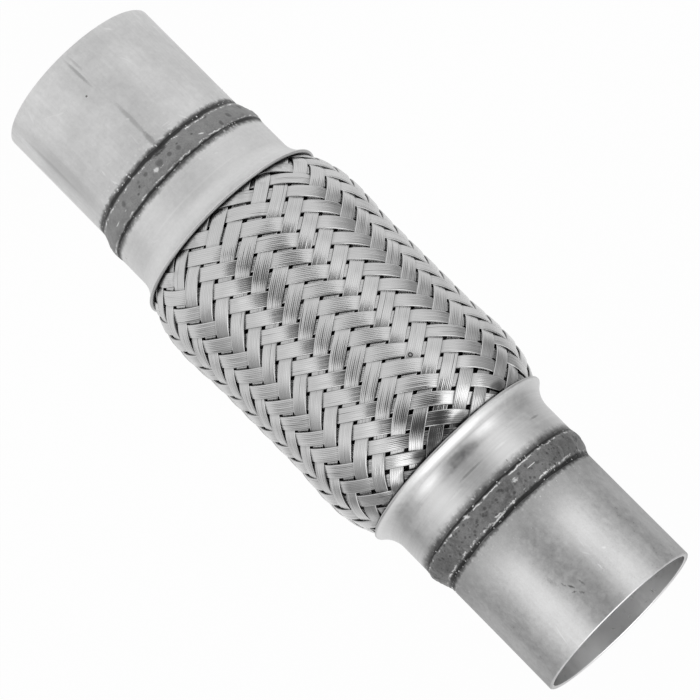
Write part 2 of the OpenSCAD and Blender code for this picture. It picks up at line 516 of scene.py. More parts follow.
def lathe(
    name: str,
    profile: Sequence[tuple[float, float]],
    segments: int,
    spacing: float,
    mid_z: float,
    shape: Shape | None = None,
) -> bpy.types.Mesh:
    """Revolves a closed profile round the pipe's axis.

    Args:
        name: Name of the mesh.
        profile: Corners as radius and height from the middle, in millimetres.
        segments: Steps round the pipe.
        spacing: Longest edge along the profile.
        mid_z: Height of the middle above the frame's origin.
        shape: Gives how far a point moves out and up, from its angle, radius and height.

    Returns:
        The closed mesh, smooth apart from its sharp edges.
    """
    rings = refined(profile, spacing)
    angles = np.arange(segments) * (2 * math.pi / segments)
    radius = np.repeat(rings[:, 0][None, :], segments, axis=0)
    height = np.repeat(rings[:, 1][None, :], segments, axis=0)
    if shape is not None:
        moves = np.array([[shape(a, r, z) for r, z in rings] for a in angles])
        radius = radius + moves[:, :, 0]
        height = height + moves[:, :, 1]
    turn = angles[:, None]
    points = np.stack([radius * np.cos(turn), radius * np.sin(turn), height + mid_z], axis=-1)
    rows = np.arange(segments)[:, None]
    columns = np.arange(len(rings))[None, :]
    next_row = (rows + 1) % segments
    next_column = (columns + 1) % len(rings)
    count = len(rings)
    quads = np.stack(
        [
            rows * count + columns,
            next_row * count + columns,
            next_row * count + next_column,
            rows * count + next_column,
        ],
        axis=-1,
    )
    mesh = bpy.data.meshes.new(name)
    mesh.from_pydata((points.reshape(-1, 3) * MM).tolist(), [], quads.reshape(-1, 4).tolist())
    mesh.shade_smooth()
    mesh.set_sharp_from_angle(angle=SHARP_ANGLE)
    return mesh


def field(x: float, y: float, z: float) -> float:
    """Smooth noise from -1 to 1 at a point."""
    return noise.noise(Vector((x, y, z)))


def run_tree(name: str, tree: bpy.types.NodeTree, inputs: dict[str, Feed]) -> bpy.types.Mesh:
    """Runs a Geometry Nodes tree and keeps its result.

    Args:
        name: Name of the mesh.
        tree: The tree.
        inputs: Value of each named input.

    Returns:
        The plain mesh that the tree makes.
    """
    holder = bpy.data.objects.new(name, bpy.data.meshes.new(f"{name}_start"))
    bpy.context.scene.collection.objects.link(holder)
    modifier = holder.modifiers.new(name, "NODES")
    modifier.node_group = tree
    sockets = {item.name: item.identifier for item in tree.interface.items_tree if item.in_out == "INPUT"}
    for label, value in inputs.items():
        modifier[sockets[label]] = value
    depsgraph = bpy.context.evaluated_depsgraph_get()
    mesh = bpy.data.meshes.new_from_object(
        holder.evaluated_get(depsgraph), preserve_all_data_layers=True, depsgraph=depsgraph
    )
    holder.modifiers.remove(modifier)
    bpy.data.objects.remove(holder)
    return mesh


def close_holes(mesh: bpy.types.Mesh) -> None:
    """Caps every open end of a mesh.

    Args:
        mesh: Mesh to close, changed in place.
    """
    work = bmesh.new()
    work.from_mesh(mesh)
    rims = [edge for edge in work.edges if edge.is_boundary]
    bmesh.ops.holes_fill(work, edges=rims, sides=0)
    work.to_mesh(mesh)
    work.free()


@cache
def strand_tree() -> bpy.types.NodeTree:
    """Tree that weaves one family of flat strands, each a row of wires, over two and under two.

    A strand's lengthwise place is counted in crossings from the middle. A point beside its centre line
    lies in another column and row of the weave, so both families share one pattern.

    Returns:
        The tree, with its sizes as named inputs.
    """
    kit = NodeKit.geometry("Woven strands", {
        "First strand": 0, "Strand count": 12, "Strands each way": 24, "Turn": 1.0, "Wires": 8,
        "Steps": 161, "Reach": 16.0, "Row step": 3.55, "Fill": 0.83, "Loose fill": 0.76,
        "Amplitude": 0.55, "Steepness": 0.9, "Wire radius": 0.29, "Middle height": 127.0,
        "Shoulder radius": 39.85, "Shoulder rise": 4.55, "Shoulder length": 19.5, "Shoulder power": 2.5,
        "Waist dip": 0.8, "Waist length": 16.5, "Lip height": 52.2, "Flare height": 61.5,
        "Flare centre radius": 42.1, "Braid arc radius": 11.6, "Unevenness": 1.0,
    })
    give = kit.given

    # One flat grid for each strand, numbered along and across: three columns for each wire, one for the
    # last wire's edge, two for the back and one that closes the back on the first
    per_wire = 3.0
    columns = give("Wires") * per_wire + 4.0
    grid = kit.out("GeometryNodeMeshGrid", {"Vertices X": give("Steps"), "Vertices Y": columns}, "Mesh")
    index = kit.out("GeometryNodeInputIndex")
    step = (index / columns + ROUNDING).do("FLOOR")
    grid = kit.store(grid, "step", step)
    grid = kit.store(grid, "column", index - step * columns)
    line = kit.out("GeometryNodeMeshLine", {"Count": give("Strand count")}, "Mesh")
    starts = kit.out("GeometryNodeMeshToPoints", {"Mesh": line}, "Points")
    starts = kit.store(starts, "strand", index + give("First strand"))
    strands = kit.out("GeometryNodeInstanceOnPoints", {"Points": starts, "Instance": grid}, "Instances")
    strands = kit.out("GeometryNodeRealizeInstances", {"Geometry": strands}, "Geometry")

    def stored(label: str) -> Value:
        """Reads one of the numbers stored on the grids."""
        return kit.out("GeometryNodeInputNamedAttribute", {"Name": label}, "Attribute", data_type="FLOAT")

    # Section of a strand: wires side by side on top, and a flat back
    near_flank = 0.27
    far_flank = 0.73
    valley_level = 0.82
    crown_rise = 0.14
    edge_drop = 0.4
    back_depth = 0.75
    strand = stored("strand")
    turn = give("Turn")
    wires = give("Wires")
    place = stored("column") - 1.0
    wire = (place / per_wire + ROUNDING).do("FLOOR")
    part = place - wire * per_wire
    last = wires * per_wire
    on_top = place.do("GREATER_THAN", -0.5) * place.do("LESS_THAN", last + 0.5)
    flanks = part.do("COMPARE", 1.0, 0.1) * near_flank + part.do("COMPARE", 2.0, 0.1) * far_flank
    right_back = place.do("COMPARE", last + 1.0, 0.1)
    across = on_top * ((wire + flanks) / wires) + right_back
    top_level = valley_level + part.do("GREATER_THAN", 0.5) * crown_rise
    edge = (abs(across - 0.5) - 0.499).do("GREATER_THAN", 0.0)
    level = on_top * (top_level - edge * edge_drop) - (1.0 - on_top) * back_depth

    # Unevenness: one noise for the whole strand, one for each wire, both drawn apart for each strand
    reach = give("Reach")
    along = stored("step") / (give("Steps") - 1.0) * 2.0 * reach - reach
    strand_spot = kit.vector(along * 0.11, strand * 3.7 + turn * 19.0, 0.5)
    strand_sway = (kit.noise(strand_spot, 1.0, 2.0) - 0.5) * give("Unevenness")
    wire_spot = kit.vector(along * 0.35, strand * 5.1 + turn * 7.0, wire * 2.3)
    wire_sway = (kit.noise(wire_spot, 1.0, 1.0) - 0.5) * give("Unevenness") * on_top

    # Path of a strand through the weave, looser towards the outlet and less even towards both lips
    loose_from = reach * 0.45
    loose_to = reach * 0.8
    loose = along.ease(loose_from, loose_to)
    ends = abs(along).ease(loose_from, loose_to)
    fill = give("Fill") + (give("Loose fill") - give("Fill")) * loose
    fill = fill + strand_sway * (0.09 + ends * 0.22)
    beside = fill * (0.5 - across) + strand_sway * (0.11 + ends * 0.16)
    centre_column = strand * 2.0 + turn * along
    wave = ((centre_column - 0.5) * (math.pi / 2)).do("COSINE") * give("Steepness")
    wave = wave.do("TANH") / give("Steepness").do("TANH")
    angle = (centre_column + beside) * math.pi / give("Strands each way")
    height = (along - turn * beside) * give("Row step")

    # Outside of the braid at that height
    away = abs(height)
    inward = give("Lip height") - away
    climb = (1.0 - inward / give("Shoulder length")).do("MAXIMUM", 0.0) ** give("Shoulder power")
    dip = ((inward - give("Shoulder length")) / give("Waist length")).ease(0.0, 1.0)
    open_r = give("Shoulder radius") - give("Shoulder rise") * climb - give("Waist dip") * dip
    arc = give("Braid arc radius")
    depth = (give("Flare height") - away).do("MAXIMUM", 0.0).do("MINIMUM", arc)
    flare_r = give("Flare centre radius") - (arc * arc - depth * depth).do("SQRT")
    outside = open_r.do("MINIMUM", flare_r)

    # Rise and fall of the strand, which the collars squeeze flat
    squeezed_share = 0.85
    sway_room = 0.08
    squeeze = away.ease(give("Lip height") + 1.5, give("Flare height") - 4.0)
    amplitude = give("Amplitude") * (1.0 - squeeze * squeezed_share)
    lift = turn * wave * amplitude - amplitude
    radius = outside + lift + (level - 1.0) * give("Wire radius")
    radius = radius + strand_sway * 0.12 + wire_sway * 0.1 - sway_room
    spot = kit.on_pipe(angle, radius, height + give("Middle height"))
    woven = kit.out("GeometryNodeSetPosition", {"Geometry": strands, "Position": spot}, "Geometry")
    woven = kit.store(woven, "lift", turn * wave)
    kit.leave_smooth(kit.merged(woven))
    return kit.tree


@cache
def corrugated_tree() -> bpy.types.NodeTree:
    """Tree that makes a corrugated sheet round the pipe, closed at both ends, for bellows and liner.

    Returns:
        The tree, with its sizes as named inputs.
    """
    kit = NodeKit.geometry("Corrugated sheet", {
        "Rows": 150, "Segments": 72, "Middle height": 127.0, "End height": 75.9, "Cuff height": 52.0,
        "Cuff radius": 30.0, "Root radius": 30.95, "Crest radius": 37.2, "Pitch": 5.75,
        "Wave height": 43.1, "Steepness": 1.5, "Wall": 0.35,
    })
    give = kit.given
    columns = give("Segments") + 1.0
    rows = give("Rows") * 2.0 + 1.0
    grid = kit.out("GeometryNodeMeshGrid", {"Vertices X": rows, "Vertices Y": columns}, "Mesh")
    index = kit.out("GeometryNodeInputIndex")
    row = (index / columns + ROUNDING).do("FLOOR")
    turn = (index - row * columns) / give("Segments") * (-2 * math.pi)

    # The outer face goes up, the inner face comes back down, and the last row closes on the first
    last = give("Rows") - 1.0
    inner = row.do("GREATER_THAN", last + 0.5) * row.do("LESS_THAN", last * 2.0 + 1.5)
    closing = row.do("GREATER_THAN", last * 2.0 + 1.5)
    share = (row * (1.0 - inner) + (last * 2.0 + 1.0 - row) * inner) / last * (1.0 - closing)
    height = (share * 2.0 - 1.0) * give("End height")
    away = abs(height)
    ripple = (height / give("Pitch") * (2 * math.pi)).do("COSINE") * give("Steepness")
    ripple = ripple.do("TANH") / give("Steepness").do("TANH") * 0.5 + 0.5
    waves = away.do("LESS_THAN", give("Wave height"))
    root = give("Root radius") + (give("Cuff radius") - give("Root radius")) * away.ease(
        give("Wave height"), give("Cuff height")
    )
    radius = root + (give("Crest radius") - give("Root radius")) * ripple * waves - give("Wall") * inner
    spot = kit.on_pipe(turn, radius, height + give("Middle height"))
    sheet = kit.out("GeometryNodeSetPosition", {"Geometry": grid, "Position": spot}, "Geometry")
    kit.leave_smooth(kit.merged(sheet))
    return kit.tree


@cache
def spatter_tree() -> bpy.types.NodeTree:
    """Tree that scatters beads of spatter on a round wall beside a weld.

    Returns:
        The tree, with its sizes as named inputs.
    """
    kit = NodeKit.geometry("Weld spatter", {
        "Count": 45, "Seed": 1, "Radius": 30.4, "From height": 80.0, "To height": 90.0, "Gathering": 4.0,
        "Smallest": 0.08, "Largest": 0.32,
    })
    give = kit.given

    def chance(low: Feed, high: Feed, shift: int) -> Value:
        """A number between two others, drawn once for each bead."""
        feeds = {"Min": low, "Max": high, "Seed": give("Seed") + float(shift)}
        return kit.out("FunctionNodeRandomValue", feeds, "Value", data_type="FLOAT")

    line = kit.out("GeometryNodeMeshLine", {"Count": give("Count")}, "Mesh")
    angle = chance(0.0, 2 * math.pi, 0)
    distance = chance(0.0, 1.0, 1) ** give("Gathering")
    height = give("From height") + (give("To height") - give("From height")) * distance
    spot = kit.on_pipe(angle, give("Radius"), height)
    points = kit.out("GeometryNodeMeshToPoints", {"Mesh": line, "Position": spot}, "Points")
    bead = kit.out("GeometryNodeMeshIcoSphere", {"Radius": MM, "Subdivisions": 2}, "Mesh")
    size = give("Smallest") + (give("Largest") - give("Smallest")) * chance(0.0, 1.0, 2) ** 2.0
    stretched = kit.vector(size, size, size * chance(0.8, 1.5, 3))
    feeds = {"Points": points, "Instance": bead, "Scale": stretched}
    beads = kit.out("GeometryNodeInstanceOnPoints", feeds, "Instances")
    kit.leave_smooth(kit.out("GeometryNodeRealizeInstances", {"Geometry": beads}, "Geometry"))
    return kit.tree


# Finishes


@cache
def place_group() -> bpy.types.NodeTree:
    """Shader group that tells where a point lies on the pipe, from its Object coordinates.

    Returns:
        The group, with each way of telling the place as a named output.
    """
    outputs = {
        "Turn": "NodeSocketFloat", "Height": "NodeSocketFloat", "Millimetres": "NodeSocketVector",
        "Lengthwise": "NodeSocketVector", "Around": "NodeSocketVector",
    }
    kit = NodeKit.group("Place on the pipe", "ShaderNodeTree", {"Middle height": 127.0}, outputs)
    spot = kit.add("ShaderNodeTexCoord").outputs["Object"]
    feeds = {0: spot, "Scale": 1 / MM}
    x, y, z = kit.parts(kit.out("ShaderNodeVectorMath", feeds, "Vector", operation="SCALE"))
    turn = kit.math("ARCTAN2", x * -1.0, y * -1.0) * DEGREES
    height = z - kit.given("Middle height")
    kit.leave({
        "Turn": turn,
        "Height": height,
        "Millimetres": kit.vector(x, y, height),
        "Lengthwise": kit.vector(x, y, height * LINE_STRETCH),
        "Around": kit.vector(x * LINE_STRETCH, y * LINE_STRETCH, height),
    })
    return kit.tree


@cache
def mark_group() -> bpy.types.NodeTree:
    """Shader group that gives the mask of one mark on the pipe's wall: a scratch, streak or spot, or a
    painted highlight, reflection or shade.

    Returns:
        The group, with the mark's place and sizes as named inputs.
    """
    inputs = {
        "Turn": 0.0, "Height": 0.0, "Unrest": 0.5, "At turn": 0.0, "At height": 0.0, "Radius": 30.4,
        "Half length": 5.0, "Half width": 0.3, "Slant": 0.0, "Curve": 0.0, "Ragged": 0.3,
    }
    kit = NodeKit.group("Mark on the wall", "ShaderNodeTree", inputs, {"Mask": "NodeSocketFloat"})
    give = kit.given
    u = (give("Turn") - give("At turn")) * RADIANS * give("Radius")
    v = give("Height") - give("At height")
    slant = give("Slant") * RADIANS
    run = u * slant.do("COSINE") + v * slant.do("SINE")
    side = v * slant.do("COSINE") - u * slant.do("SINE")
    side = side + run * run * give("Curve")
    along = run / give("Half length")
    beside = side / give("Half width")
    fray = (give("Unrest") - 0.5) * give("Ragged") * 2.0
    share = (along * along + beside * beside).do("SQRT") + fray
    kit.leave({"Mask": share.ease(0.3, 1.0, 1.0, 0.0)})
    return kit.tree


@cache
def spots_group() -> bpy.types.NodeTree:
    """Shader group that gives the mask of round spots of many sizes, strewn over a surface.

    Returns:
        The group, with scale, size and share of the spots as named inputs.
    """
    inputs = {"Place": "NodeSocketVector", "Scale": 1.0, "Size": 0.4, "Share": 0.5}
    kit = NodeKit.group("Round spots", "ShaderNodeTree", inputs, {"Mask": "NodeSocketFloat"})
    feeds = {"Vector": kit.given("Place"), "Scale": kit.given("Scale")}
    cells = kit.add("ShaderNodeTexVoronoi", feeds, feature="F1")
    chance, spread, _ = kit.parts(cells.outputs["Color"])
    size = kit.given("Size") * (0.35 + spread * 0.65)
    shown = chance.do("LESS_THAN", kit.given("Share"))
    distance = Value(kit, cells.outputs["Distance"])
    kit.leave({"Mask": (distance / size).ease(0.55, 1.0, 1.0, 0.0) * shown})
    return kit.tree


def spots(kit: NodeKit, place: Feed, scale: float, size: float, share: float) -> Value:
    """Mask of round spots: their cells for each millimetre, their size in a cell and how many show."""
    feeds = {"Place": place, "Scale": scale, "Size": size, "Share": share}
    return kit.use(spots_group(), feeds)["Mask"]


@cache
def wear_group() -> bpy.types.NodeTree:
    """Shader group with the grain, streaks, scuffs and clouding that all the steel shares.

    Returns:
        The group, with each kind of wear as a named output.
    """
    inputs = {
        "Millimetres": "NodeSocketVector", "Lengthwise": "NodeSocketVector", "Around": "NodeSocketVector",
        "Round share": 0.0,
    }
    outputs = {
        "Clouds": "NodeSocketFloat", "Mottle": "NodeSocketFloat", "Streaks": "NodeSocketFloat",
        "Scuffs": "NodeSocketFloat", "Specks": "NodeSocketFloat", "Grain": "NodeSocketFloat",
    }
    kit = NodeKit.group("Steel wear", "ShaderNodeTree", inputs, outputs)
    spot = kit.given("Millimetres")
    clouds = kit.noise(spot, 0.06, 4.0, 0.55)
    mottle = kit.noise(spot, 0.5, 5.0, 0.7)
    long_lines = kit.noise(kit.given("Lengthwise"), 0.9, 5.0, 0.6)
    round_lines = kit.noise(kit.given("Around"), 1.1, 5.0, 0.6)
    share = kit.given("Round share")
    streaks = long_lines * (1.0 - share) + round_lines * share
    scuff_lines = kit.noise(kit.given("Around"), 5.0, 3.0, 0.6).ease(0.62, 0.72)
    scuff_area = kit.noise(spot, 0.13, 2.0, 0.5).ease(0.58, 0.7)
    grain = kit.noise(spot, 2.6, 4.0, 0.65)
    kit.leave({
        "Clouds": clouds, "Mottle": mottle, "Streaks": streaks, "Scuffs": scuff_lines * scuff_area,
        "Specks": spots(kit, spot, 0.8, 0.26, 0.2), "Grain": grain,
    })
    return kit.tree


@dataclass(frozen=True)
class Mark:
    """One mark on the pipe, a scratch, streak or spot, or a painted highlight, reflection or shade: turn in
    degrees from the front, height in millimetres.
    """

    turn: float
    height: float
    half_length: float
    half_width: float
    slant: float
    tone: float
    strength: float = 0.8
    curve: float = 0.0
    ragged: float = 0.4

    def paint(
        self, kit: NodeKit, colour: Value, place: dict[str, Value], unrest: Value, radius: float
    ) -> Value:
        """Paints the mark over a colour.

        Args:
            kit: Kit of the material.
            colour: Colour under the mark.
            place: Turn and height of the shaded point.
            unrest: Noise that frays the mark's outline.
            radius: Radius of the wall.

        Returns:
            The colour with the mark.
        """
        feeds = {
            "Turn": place["Turn"], "Height": place["Height"], "Unrest": unrest, "At turn": self.turn,
            "At height": self.height, "Radius": radius, "Half length": self.half_length,
            "Half width": self.half_width, "Slant": self.slant, "Curve": self.curve, "Ragged": self.ragged,
        }
        mask = kit.use(mark_group(), feeds)["Mask"]
        return kit.blend(mask * self.strength, colour, grey(self.tone))


@dataclass(frozen=True)
class SteelFinish:
    """Bare steel sheet or tube, with its lines, clouds, heat stain beside the weld and single marks, painted
    shade on the lip and painted light inside the bore.
    """

    name: str
    tone: float
    roughness: float
    radius: float
    weld_height: float
    weld_reach: float
    streaks: float = 0.25
    clouds: float = 0.25
    mottle: float = 0.3
    round_share: float = 0.0
    scuffs: float = 0.5
    specks: float = 0.4
    stain: float = 0.9
    haze: float = 0.0
    haze_reach: float = 17.0
    weld_specks: float = 0.0
    lip_height: float = 0.0
    lip_shade: float = 0.0
    rim: float = 1.0
    grain: float = 0.15
    fine: float = 0.0
    bore_painted_light: float = 0.0
    marks: tuple[Mark, ...] = ()

    def material(self, sizes: PipeSizes) -> bpy.types.Material:
        """Builds the material.

        Args:
            sizes: Sizes of the pipe.

        Returns:
            The finished material.
        """
        made, kit, shader = start_material(self.name)
        kit.feed(shader.inputs["Specular Tint"], grey(self.rim))
        place = kit.use(place_group(), {"Middle height": sizes.mid_z})
        feeds = {label: place[label] for label in ("Millimetres", "Lengthwise", "Around")}
        wear = kit.use(wear_group(), {**feeds, "Round share": self.round_share})
        distance = abs(place["Height"] - self.weld_height)
        level = 1.0 + (wear["Streaks"] - 0.5) * self.streaks + (wear["Clouds"] - 0.5) * self.clouds
        level = level + (wear["Mottle"] - 0.5) * self.mottle + (wear["Grain"] - 0.5) * self.fine
        haze = distance.ease(0.0, self.haze_reach, 1.0, 0.0) * self.haze
        colour = kit.shade(self.tone, level * (1.0 - haze))
        colour = kit.blend(wear["Scuffs"] * self.scuffs, colour, SCUFF)
        colour = kit.blend(wear["Specks"] * self.specks, colour, SPECK_AND_GLINT)

        # Soot and thrown specks beside the weld
        thrown = spots(kit, place["Millimetres"], 0.9, 0.5, 0.4) * distance.ease(1.2, 6.0, 1.0, 0.0)
        frayed = distance + (wear["Mottle"] - 0.5) * 2.6
        stain = frayed.ease(0.1, self.weld_reach, 1.0, 0.0) * self.stain
        colour = kit.blend(stain, colour, SOOT)
        colour = kit.blend(thrown * self.weld_specks, colour, BRIGHT)

        # Painted shade on the lip, single marks, and painted light that makes the inside of a tube lighter
        lip = abs(place["Height"]).ease(self.lip_height - 0.2, self.lip_height + 0.3, 1.0, 0.0)
        colour = kit.blend(lip * self.lip_shade, colour, LIP_SHADE)
        for mark in self.marks:
            colour = mark.paint(kit, colour, place, wear["Grain"], self.radius)
        # Painted light: the inside of the tube is made lighter than its steel
        x, y, _ = kit.parts(place["Millimetres"])
        inside = (x * x + y * y).do("SQRT").ease(sizes.bore_r + 0.2, sizes.tube_r - 0.3, 1.0, 0.0)
        colour = kit.blend(inside * self.bore_painted_light, colour, PAINTED_BORE_LIGHT)
        rough = self.roughness + (wear["Mottle"] - 0.5) * 0.4 + (wear["Clouds"] - 0.5) * 0.15
        rough = rough + haze * 1.3
        kit.feed(shader.inputs["Base Color"], colour)
        kit.feed(shader.inputs["Roughness"], rough.clamped())
        relief = wear["Grain"] + wear["Streaks"] * 0.8
        add_bump(kit, shader, relief, self.grain, FINE_RELIEF)
        return made


@dataclass(frozen=True)
class WeldFinish:
    """Grey weld metal, black at its toes from oxide and painted shade, with round dark blotches, bright
    specks and painted glints along the toes.
    """

    name: str
    tone: float
    blotches: float
    blotch_scale: float
    radius: float
    marks: tuple[Mark, ...] = ()

    def material(self, sizes: PipeSizes) -> bpy.types.Material:
        """Builds the material.

        Args:
            sizes: Sizes of the pipe.

        Returns:
            The finished material.
        """
        made, kit, shader = start_material(self.name)
        place = kit.use(place_group(), {"Middle height": sizes.mid_z})
        spot = place["Millimetres"]
        across = kit.attribute("across")
        cloud = kit.noise(spot, 0.35, 4.0, 0.6)
        grain = kit.noise(spot, 2.2, 4.0, 0.65)
        blotches = spots(kit, spot, self.blotch_scale, 0.5, self.blotches)
        colour = kit.shade(self.tone, 0.6 + cloud * 0.5 + (grain - 0.5) * 0.9)
        colour = kit.blend(blotches * 0.7, colour, grey(self.tone * 0.35))

        # Both toes are black, partly oxide and partly painted shade, and bright specks and painted glints
        # lie just inside them
        from_toe = 0.5 - abs(across - 0.5) + (cloud - 0.5) * 0.14
        toe_share = from_toe / (0.07 + across * 0.07)
        colour = kit.blend(toe_share.ease(0.75, 1.3, 0.9, 0.0), colour, TOE_OXIDE_AND_SHADE)
        glint_line = abs(toe_share - 1.5 - (grain - 0.5) * 1.2).ease(0.1, 0.35, 1.0, 0.0)
        toe_glints = glint_line * kit.noise(spot, 0.3, 5.0, 0.8).ease(0.5, 0.56)
        specks = spots(kit, spot, 1.1, 0.36, 0.3) * toe_share.ease(1.2, 2.6, 1.0, 0.0)
        colour = kit.blend(toe_glints.do("MAXIMUM", specks * 0.8), colour, SPECK_AND_GLINT)
        for mark in self.marks:
            colour = mark.paint(kit, colour, place, grain, self.radius)
        kit.feed(shader.inputs["Base Color"], colour)
        kit.feed(shader.inputs["Roughness"], (0.45 + (grain - 0.5) * 0.4).clamped())
        add_bump(kit, shader, grain + cloud - blotches * 0.5, 0.5, WELD_RELIEF)
        return made


@dataclass(frozen=True)
class WireFinish:
    """Bright drawn wire, a little different from strand to strand, stained where the collar was heated, with
    painted shade in its grooves, dives and edges and under the lips.

    The ring is painted shade: the dark rim of one drop of spatter on the front of the braid.
    """

    name: str
    tone: float
    roughness: float
    wires: int
    drop_rim_shade_turn: float = 18.5
    drop_rim_shade_height: float = 25.7
    drop_rim_shade_r: float = 0.6
    marks: tuple[Mark, ...] = ()

    def material(self, sizes: PipeSizes) -> bpy.types.Material:
        """Builds the material.

        Args:
            sizes: Sizes of the pipe.

        Returns:
            The finished material.
        """
        made, kit, shader = start_material(self.name)
        place = kit.use(place_group(), {"Middle height": sizes.mid_z})
        spot = place["Millimetres"]
        strand = kit.attribute("strand")
        step = kit.attribute("step")
        place_across = (kit.attribute("column") - 1.0) / 3.0
        wire = place_across.do("FLOOR")
        drawn = kit.noise(kit.vector(wire * 7.3, strand * 3.1, step * 0.06), 1.0, 3.0, 0.6)
        clouds = kit.noise(spot, 0.09, 3.0, 0.5)
        colour = kit.shade(self.tone, 1.0 + (drawn - 0.5) * 0.35 + (clouds - 0.5) * 0.25)

        # Smudges near the lips, and painted shade right under them
        away = abs(place["Height"])
        near_lip = (away + (clouds - 0.5) * 12.0).ease(sizes.lip_z - 7.0, sizes.lip_z + 2.0)
        smudge = kit.noise(spot, 0.22, 3.0, 0.6).ease(0.46, 0.66) * near_lip
        colour = kit.blend(smudge * 0.5, colour, SMUDGE)
        under_lip = (away + (clouds - 0.5) * 3.0).ease(sizes.lip_z - 2.6, sizes.lip_z - 0.4)
        colour = kit.blend(under_lip * 0.3, colour, SHADOW)

        # Painted shade in the grooves between the wires, darker in a few open slits, and painted shade where
        # strands dive and along their edges
        groove = (place_across + 0.5).do("FLOOR")
        groove_shade = abs(place_across - groove).ease(0.05, 0.25, 1.0, 0.0)
        slit_spot = kit.vector(groove * 5.3, strand * 3.7, step * 0.035)
        slit_shade = kit.noise(slit_spot, 1.0, 1.0).ease(0.63, 0.69)
        dive_shade = kit.attribute("lift").ease(-0.1, 0.2, 0.2, 0.0)
        middle = self.wires * 1.5
        side = abs(kit.attribute("column") - (middle + 1.0)).ease(middle - 0.4, middle + 0.4)
        dark = dive_shade.do("MAXIMUM", side * 0.35).do("MAXIMUM", groove_shade * (0.16 + slit_shade * 0.74))
        colour = kit.blend(dark, colour, GAP_SHADE)

        # Painted shade of the dark rim of a drop of spatter, and single marks
        beside = (place["Turn"] - self.drop_rim_shade_turn) * (RADIANS * sizes.shoulder_r)
        above = place["Height"] - self.drop_rim_shade_height
        off_drop_rim_shade = abs((beside * beside + above * above).do("SQRT") - self.drop_rim_shade_r)
        colour = kit.blend(off_drop_rim_shade.ease(0.12, 0.34, 0.9, 0.0), colour, SHADOW)
        for mark in self.marks:
            colour = mark.paint(kit, colour, place, clouds, sizes.shoulder_r)
        kit.feed(shader.inputs["Base Color"], colour)
        kit.feed(shader.inputs["Roughness"], (self.roughness + (drawn - 0.5) * 0.2).clamped())
        return made


@dataclass(frozen=True)
class SheetFinish:
    """Plain thin sheet inside the pipe."""

    name: str
    tone: float
    roughness: float

    def material(self, sizes: PipeSizes) -> bpy.types.Material:
        """Builds the material.

        Args:
            sizes: Sizes of the pipe.

        Returns:
            The finished material.
        """
        made, kit, shader = start_material(self.name)
        place = kit.use(place_group(), {"Middle height": sizes.mid_z})
        lines = kit.noise(place["Around"], 1.6, 4.0, 0.6)
        clouds = kit.noise(place["Millimetres"], 0.08, 3.0, 0.5)
        colour = kit.shade(self.tone, 1.0 + (lines - 0.5) * 0.35 + (clouds - 0.5) * 0.3)
        kit.feed(shader.inputs["Base Color"], colour)
        kit.feed(shader.inputs["Roughness"], (self.roughness + (lines - 0.5) * 0.2).clamped())
        add_bump(kit, shader, lines, 0.15, FINE_RELIEF)
        return made


def start_material(name: str) -> tuple[bpy.types.Material, NodeKit, bpy.types.Node]:
    """Starts a metal material.

    Args:
        name: Name of the material.

    Returns:
        The material, its node kit and its Principled shader.
    """
    made = bpy.data.materials.new(name)
    made.use_nodes = True
    made.node_tree.nodes.clear()
    kit = NodeKit(made.node_tree)
    shader = kit.add("ShaderNodeBsdfPrincipled", {"Metallic": 1.0})
    kit.add("ShaderNodeOutputMaterial", {"Surface": shader.outputs["BSDF"]})
    return made, kit, shader


def add_bump(kit: NodeKit, shader: bpy.types.Node, height: Feed, strength: float, distance: float) -> None:
    """Gives a shader a relief."""
    feeds = {"Strength": strength, "Distance": distance, "Height": height}
    kit.feed(shader.inputs["Normal"], kit.out("ShaderNodeBump", feeds, "Normal"))


# Pieces


@dataclass
class Nipple:
    """A plain cut tube at one end."""

    sizes: PipeSizes
    end: End
    finish: SteelFinish
    segments: int = 256
    spacing: float = 4.0
    oval: float = 0.12
    oval_turn: float = 0.6
    unrest: float = 0.05
    waves_round: float = 1.6
    waves_along: float = 0.03

    def shape(self, angle: float, radius: float, height: float) -> tuple[float, float]:
        """Slight ovality and unrest of the wall.

        Args:
            angle: Angle of the point round the pipe, in radians.
            radius: Radius of the point, in millimetres.
            height: Height of the point from the pipe's middle, in millimetres.

        Returns:
            How far the point moves out and up, in millimetres.
        """
        x = self.waves_round * math.cos(angle)
        y = self.waves_round * math.sin(angle)
        out = self.oval * math.cos(2 * angle + self.oval_turn) * abs(height) / self.sizes.end_z
        return out + self.unrest * field(x, y, self.waves_along * height), 0.0

    def build(self) -> bpy.types.Object:
        """Makes the tube and lets it ride on its end.

        Returns:
            The finished nipple.
        """
        s = self.sizes
        sign = self.end.value
        profile = [
            (s.bore_r, s.joint_z),
            (s.tube_r, s.joint_z),
            (s.tube_r, s.end_z - s.edge_break),
            (s.tube_r - s.edge_break, s.end_z),
            (s.bore_r + s.edge_break, s.end_z),
            (s.bore_r, s.end_z - s.edge_break),
        ]
        turned = [(r, sign * z) for r, z in profile]
        name = f"{self.end.word}_nipple"
        mesh = lathe(name, turned, self.segments, self.spacing, s.mid_z, self.shape)
        piece = add_object(name, mesh, self.finish.material(s))
        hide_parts(f"{self.end.word}_tube")
        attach(piece, self.end.body)
        report(piece)
        return piece


